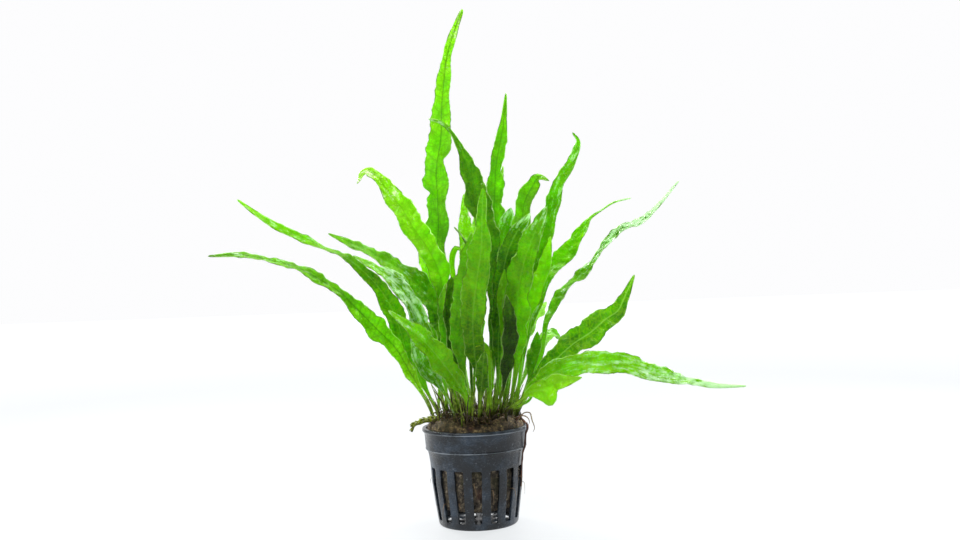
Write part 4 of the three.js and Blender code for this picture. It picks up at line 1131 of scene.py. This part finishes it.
def build_plug(material):
    """The wool plug, matted and lumpy. It swells a little into the slots and has a rolled edge in the rim."""
    draw = random.Random(SEED)
    lumps = [(draw.uniform(0, 6.28), draw.uniform(PLUG_BOTTOM, PLUG_CROWN), draw.uniform(-1, 1))
             for _ in range(LUMP_COUNT)]

    def swelling(angle, height):
        total = 0
        for lump_angle, lump_height, push in lumps:
            across = ((angle - lump_angle + math.pi) % (2 * math.pi) - math.pi) * LUMP_RADIUS
            gap = across ** 2 + (height - lump_height) ** 2
            if gap < LUMP_REACH:
                total += push * math.exp(-gap / LUMP_SPREAD)
        return clamp(total, -1, 1)

    def crown(x, y):
        """The top with its matted fibres, and a crease between the mounds and the front of the rim."""
        rough = 0.3 * math.sin(2.3 * x + 1.7 * y) * math.sin(0.7 * x - 1.9 * y)
        rough += 0.25 * math.sin(3.1 * y - 1.3 * x + 2)
        crease = 0.5 * math.exp(-((y + 19 + 0.12 * x + 0.8 * math.sin(0.5 * x)) / 0.9) ** 2)
        return plug_top(x, y) + rough - crease - 0.1

    def ring_at(radius_at, height_at):
        ring = []
        for k in range(PLUG_COLUMNS):
            angle = 2 * math.pi * k / PLUG_COLUMNS
            radius = radius_at(angle)
            x, y = radius * math.cos(angle), radius * math.sin(angle)
            ring.append((x, y, height_at(x, y, angle)))
        return ring

    rings = []
    for radius in PLUG_UNDERSIDE_RADII:
        rings.append(ring_at(lambda a: radius, lambda x, y, a: PLUG_BOTTOM + 0.3 * math.sin(5 * a + radius)))
    for i in range(PLUG_LEVELS + 1):
        height = mix(PLUG_BOTTOM + 0.3, PLUG_SHOULDER, i / PLUG_LEVELS)
        wall = outline_radius(POT_INSIDE[::-1], height) - CLEARANCE - LUMP_ROOM
        rings.append(ring_at(lambda a: wall + LUMP_RISE * swelling(a, height), lambda x, y, a: height))
    shoulder = outline_radius(POT_INSIDE[::-1], PLUG_SHOULDER) - CLEARANCE
    for inset, share in PLUG_EDGE:
        radius = shoulder - inset
        rings.append(ring_at(lambda a: radius, lambda x, y, a: mix(PLUG_SHOULDER, crown(x, y), share)))
    for radius in np.arange(shoulder - PLUG_EDGE_WIDTH, 0.4, -PLUG_RING_STEP):
        rings.append(ring_at(lambda a: radius, lambda x, y, a: crown(x, y)))
    skin = Skin()
    skin.loft(rings)
    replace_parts(skin.piece("wool_block", material, "wool"), "wool_plug")


def scatter(draw, reach):
    """A random place on the plug, a little denser towards its edge."""
    angle = draw.uniform(0, 2 * math.pi)
    radius = reach * draw.random() ** 0.6
    return radius * math.cos(angle), radius * math.sin(angle)


def on_mound(x, y):
    """Whether a place is on the front of the wool's two mounds, which stay bare."""
    return y < BARE_FRONT and plug_top(x, y) > PLUG_CROWN + BARE_RISE


def build_wool_fibres(material):
    """Loose fibres and crumbs standing off the plug."""
    draw = random.Random(SEED + 5)
    skin = Skin()
    for _ in range(FIBRE_COUNT):
        x, y = scatter(draw, FIBRE_REACH)
        foot = Vector((x, y, plug_top(x, y) - 0.3))
        heading = draw.uniform(0, 2 * math.pi)
        push = Vector((math.cos(heading), math.sin(heading), draw.uniform(0.1, 1.0))) * draw.uniform(0.6, 1.8)
        bend = Vector((draw.uniform(-0.6, 0.6), draw.uniform(-0.6, 0.6), draw.uniform(-0.6, 0.1)))
        radius = draw.uniform(0.07, 0.16)
        radii = [radius, radius, radius * 0.4]
        skin.tube([foot, foot + push, foot + push * 1.7 + bend], radii, sides=4, step=0.8)
    return skin.piece("wool_fibres", material, "wool")


def scale_leaf(skin, draw, base, outward, tangent):
    """One papery scale, pressed to the stem and pointed."""
    tip = base + outward * draw.uniform(0.5, 1.2) + tangent * draw.uniform(0.8, 2.0)
    skin.tube([base, base.lerp(tip, 0.5) + outward * 0.2, tip], SCALE_RADII, sides=5, step=0.6)


def creeping_stem(skin, draw, points, radii, scales):
    """A knobbly stem along points, set with scales over its upper side."""
    knobs = [along(radii, k / 4) * draw.uniform(0.88, 1.12) for k in range(4 * (len(radii) - 1) + 1)]
    skin.tube(points, knobs, sides=14, step=0.5)
    curve = Curve(points)
    for i in range(scales):
        share = 0.03 + 0.94 * i / scales
        place, tangent, _ = curve.at(share * curve.length)
        radius = along(radii, share * (len(radii) - 1))
        level = tangent.cross(UP).normalized()
        up = level.cross(tangent)
        angle = draw.uniform(-1.8, 1.8)
        outward = up * math.cos(angle) + level * math.sin(angle)
        scale_leaf(skin, draw, place + outward * radius * 0.75, outward, tangent)


def build_rhizome(material):
    """The living rhizome, which lies on the wool and reaches over the rim."""
    lying = [(x, y, plug_top(x, y) + radius + 0.4) for (x, y), radius in zip(RHIZOME_ROUTE, RHIZOME_RADII)]
    skin = Skin()
    creeping_stem(skin, random.Random(SEED + 1), [*lying, *RHIZOME_TIP], RHIZOME_RADII, RHIZOME_SCALES)
    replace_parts(skin.piece("creeping_rhizome", material, "rhizome"), "rhizome")


def build_branches(material):
    """Older branches of the rhizome, half sunk in the wool."""
    draw = random.Random(SEED + 6)
    skin = Skin()
    for route in BRANCHES:
        points = [(x, y, plug_top(x, y) + draw.uniform(0.5, 1.5)) for x, y in route]
        radii = [0.9, *[draw.uniform(1.3, 1.7) for _ in route[2:]], 1.0]
        creeping_stem(skin, draw, points, radii, BRANCH_SCALES)
    return skin.piece("rhizome_branches", material, "rhizome")


def build_root(material):
    """The dark root that leaves the wool and hangs down the pot's right side, thinner as it goes."""
    ground = plug_top(*ROOT_FOOT)
    points = [(*ROOT_FOOT, ground - PEG), (*ROOT_FOOT, ground + 0.6), *ROOT_ROUTE]
    draw = random.Random(SEED + 2)
    last = ROOT_KNOTS - 1
    radii = [ROOT_RADIUS * mix(1.5, 0.7, k / last) * draw.uniform(0.7, 1.25) for k in range(ROOT_KNOTS)]
    skin = Skin()
    skin.tube(points, radii, sides=8, step=0.5)
    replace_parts(skin.piece("hanging_root", material, "root"), "root_strand")


def build_pale_roots(material):
    """Thin pale roots that leave the plug by the right of the rim, and hairs that come out of the slots."""
    draw = random.Random(SEED + 7)
    skin = Skin()
    for route in PALE_ROOTS:
        skin.tube(route, PALE_ROOT_RADII, sides=6, step=0.6)
    for i in range(SLOT_HAIRS):
        angle = 2 * math.pi * (3 * i % SLOT_COUNT + draw.uniform(-0.2, 0.2)) / SLOT_COUNT - math.pi / 2
        height = draw.uniform(*SLOT_HAIR_HEIGHTS)
        outward = Vector((math.cos(angle), math.sin(angle), 0))
        level = Vector((-math.sin(angle), math.cos(angle), 0))
        start = outward * (outline_radius(POT_OUTSIDE, height) - 2) + UP * height
        drop = UP * draw.uniform(1, 9)
        sway = level * draw.uniform(-1.6, 1.6)
        reach = outward * draw.uniform(2.3, 3.4)
        points = [start, start + reach + UP * 0.3, start + reach * 1.1 + sway - drop]
        skin.tube(points, SLOT_HAIR_RADII, sides=4, step=0.8)
    return skin.piece("pale_roots", material, "root")


def build_tangle(material):
    """Fine dark roots that loop over the plug's top among the stalks, and few over its bare mounds."""
    draw = random.Random(SEED + 3)
    skin = Skin()
    for _ in range(TANGLE_COUNT):
        x, y = scatter(draw, TANGLE_REACH)
        if on_mound(x, y) and draw.random() < 0.85:
            continue
        heading = draw.uniform(0, 2 * math.pi)
        stride = draw.uniform(0.9, 2.4)
        rise = 5.5 * draw.random() ** 2
        steps = draw.randint(4, 7)
        points = []
        for k in range(steps + 1):
            held = min(1, TANGLE_LIMIT / max(math.hypot(x, y), 0.1))
            x, y = x * held, y * held
            height = rise * math.sin(math.pi * k / steps) + draw.uniform(-0.3, 0.4)
            points.append((x, y, plug_top(x, y) + height))
            heading += draw.uniform(-0.9, 0.9)
            x += stride * math.cos(heading)
            y += stride * math.sin(heading)
        skin.tube(points, [draw.uniform(0.1, 0.34), 0.2, draw.uniform(0.05, 0.15)], sides=5, step=0.9)
    return skin.piece("root_tangle", material, "root")


def build_scales(material):
    """Dead papery scales and scraps of stalk lying among the roots."""
    draw = random.Random(SEED + 9)
    skin = Skin()
    for _ in range(DEAD_SCALE_COUNT):
        x, y = scatter(draw, DEAD_SCALE_REACH)
        if on_mound(x, y):
            continue
        base = Vector((x, y, plug_top(x, y) + 5 * draw.random() ** 1.5))
        outward = Vector((draw.uniform(-1, 1), draw.uniform(-1, 1), draw.uniform(-0.3, 1))).normalized()
        scale_leaf(skin, draw, base, outward, Vector((draw.uniform(-1, 1), draw.uniform(-1, 1), 0.6)))
    return skin.piece("dead_scales", material, "rhizome")


def build_shoots(name, material, count, heights, thickness, seed):
    """Thin upright stems among the fronds, leaning outward as they rise."""
    draw = random.Random(seed)
    skin = Skin()
    for _ in range(count):
        x, y = scatter(draw, SHOOT_REACH)
        if on_mound(x, y):
            y += BEHIND_MOUND
        height = mix(*heights, draw.random() ** 1.5)
        lean_x, lean_y = (SHOOT_LEAN * outward + draw.uniform(-1.6, 1.6) for outward in (x, y))
        lean = Vector((lean_x, lean_y, 0)) * (height / 9)
        foot = Vector((x, y, plug_top(x, y) - 0.6))
        middle = foot + lean * 0.35 + UP * (height * 0.55)
        girth = thickness * draw.uniform(0.75, 1.25)
        radii = [girth, girth * 0.85, girth * 0.4]
        skin.tube([foot, middle, foot + lean + UP * height], radii, sides=6, step=1.2)
    return skin.piece(name, material, "rhizome")


# Stage

def lay_table(material):
    """The table's top, a hair under the pot's base."""
    corners = [(-TABLE_SIDE, TABLE_FRONT), (TABLE_SIDE, TABLE_FRONT),
               (TABLE_SIDE, TABLE_BACK), (-TABLE_SIDE, TABLE_BACK)]
    mesh = bpy.data.meshes.new("light_table")
    mesh.from_pydata([(x * MM, y * MM, 0) for x, y in corners], [], [(0, 1, 2, 3)])
    mesh.materials.append(material)
    table = linked(bpy.data.objects.new("light_table", mesh))
    table.location.z = -TABLE_GAP * MM


def studio_world():
    """A white studio, bright behind and above the plant and dimmer where the camera stands."""
    world = bpy.data.worlds.new("white_studio")
    world.use_nodes = True
    tree = world.node_tree
    tree.nodes.clear()
    direction = add(tree, "SeparateXYZ", {0: add(tree, "TexCoord", {}).outputs["Generated"]})
    level = add(tree, "MapRange", {0: direction.outputs["Y"], 1: -0.5, 2: 0.5, 3: BEFORE, 4: BEHIND},
                interpolation_type="SMOOTHSTEP")
    overhead = add(tree, "MapRange", {0: direction.outputs["Z"], 1: 0.35, 2: 0.9, 3: 0.0, 4: ABOVE},
                   interpolation_type="SMOOTHSTEP")
    strength = add(tree, "Math", {0: level, 1: overhead}, operation="ADD")
    background = add(tree, "Background", {"Color": linear("#FEFEFF"), "Strength": strength})
    add(tree, "OutputWorld", {"Surface": background})
    bpy.context.scene.world = world


def softbox(name, place, aim, size, power):
    """A small square lamp at a place, aimed at a height on the pot's axis."""
    light = bpy.data.lights.new(name, "AREA")
    light.shape = "SQUARE"
    light.size = size * MM
    light.energy = power
    lamp = linked(bpy.data.objects.new(name, light))
    lamp.location = Vector(place) * MM
    lamp.rotation_euler = (UP * aim - Vector(place)).to_track_quat("-Z", "Y").to_euler()


def set_camera():
    """A level camera that looks along Y, rolled about its line of sight."""
    lens = bpy.data.cameras.new("camera")
    lens.lens = CAMERA_LENS
    lens.sensor_width = CAMERA_SENSOR
    camera = linked(bpy.data.objects.new("camera", lens))
    roll = math.radians(CAMERA_ROLL)
    right = Vector((math.cos(roll), 0, -math.sin(roll)))
    up = Vector((math.sin(roll), 0, math.cos(roll)))
    turned = Matrix((right, up, right.cross(up))).transposed().to_4x4()
    camera.matrix_world = Matrix.Translation(Vector(CAMERA_PLACE) * MM) @ turned
    bpy.context.scene.camera = camera


# Build

blade_material = fern_blade()
for order, (frond_name, frond_spec) in enumerate(FRONDS.items()):
    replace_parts(build_frond(frond_name, frond_spec, order, blade_material), "frond_" + frond_name)
for order, (crozier_name, crozier_spec) in enumerate(CROZIERS.items()):
    build_frond(crozier_name, crozier_spec, order, blade_material)
wool = mineral_wool()
build_pot(moulded_pot())
build_plug(wool)
build_wool_fibres(wool)
green_skin = stem_skin("rhizome_skin", [(0.3, "#33300F"), (0.5, "#6F7A1C"), (0.7, "#A9B534")], 0.4)
brown_skin = stem_skin("old_rhizome_bark", [(0.3, "#171006"), (0.5, "#46380F"), (0.72, "#8E8134")], 0.5)
dark_skin = stem_skin("root_bark", [(0.32, "#0D0A05"), (0.52, "#31240E"), (0.74, "#7C6436")], 0.6)
red_skin = stem_skin("old_root_bark", [(0.32, "#1C0F08"), (0.52, "#563222"), (0.74, "#A0714E")], 0.5)
pale_skin = stem_skin("young_root_skin", [(0.3, "#4E3A26"), (0.55, "#8E7453"), (0.75, "#CDBB98")], 0.5)
shoot_skin = stem_skin("shoot_skin", [(0.3, "#2E2F0A"), (0.5, "#687D18"), (0.72, "#A9C645")], 0.4)
build_rhizome(green_skin)
build_branches(brown_skin)
build_root(red_skin)
build_pale_roots(pale_skin)
build_tangle(dark_skin)
build_scales(brown_skin)
build_shoots("young_shoots", shoot_skin, count=110, heights=(5, 26), thickness=0.36, seed=SEED + 4)
build_shoots("dead_stubs", dark_skin, count=70, heights=(4, 17), thickness=0.38, seed=SEED + 8)

lay_table(light_table())
studio_world()
softbox("back_light_left", place=(-360, 420, 380), aim=110, size=180, power=5.0)
softbox("back_light_right", place=(420, 360, 330), aim=110, size=180, power=5.0)
softbox("top_light", place=(60, 60, 640), aim=100, size=140, power=4.0)
softbox("front_light", place=(-380, -460, 420), aim=100, size=110, power=1.6)
set_camera()
bpy.context.scene.view_settings.view_transform = "Standard"
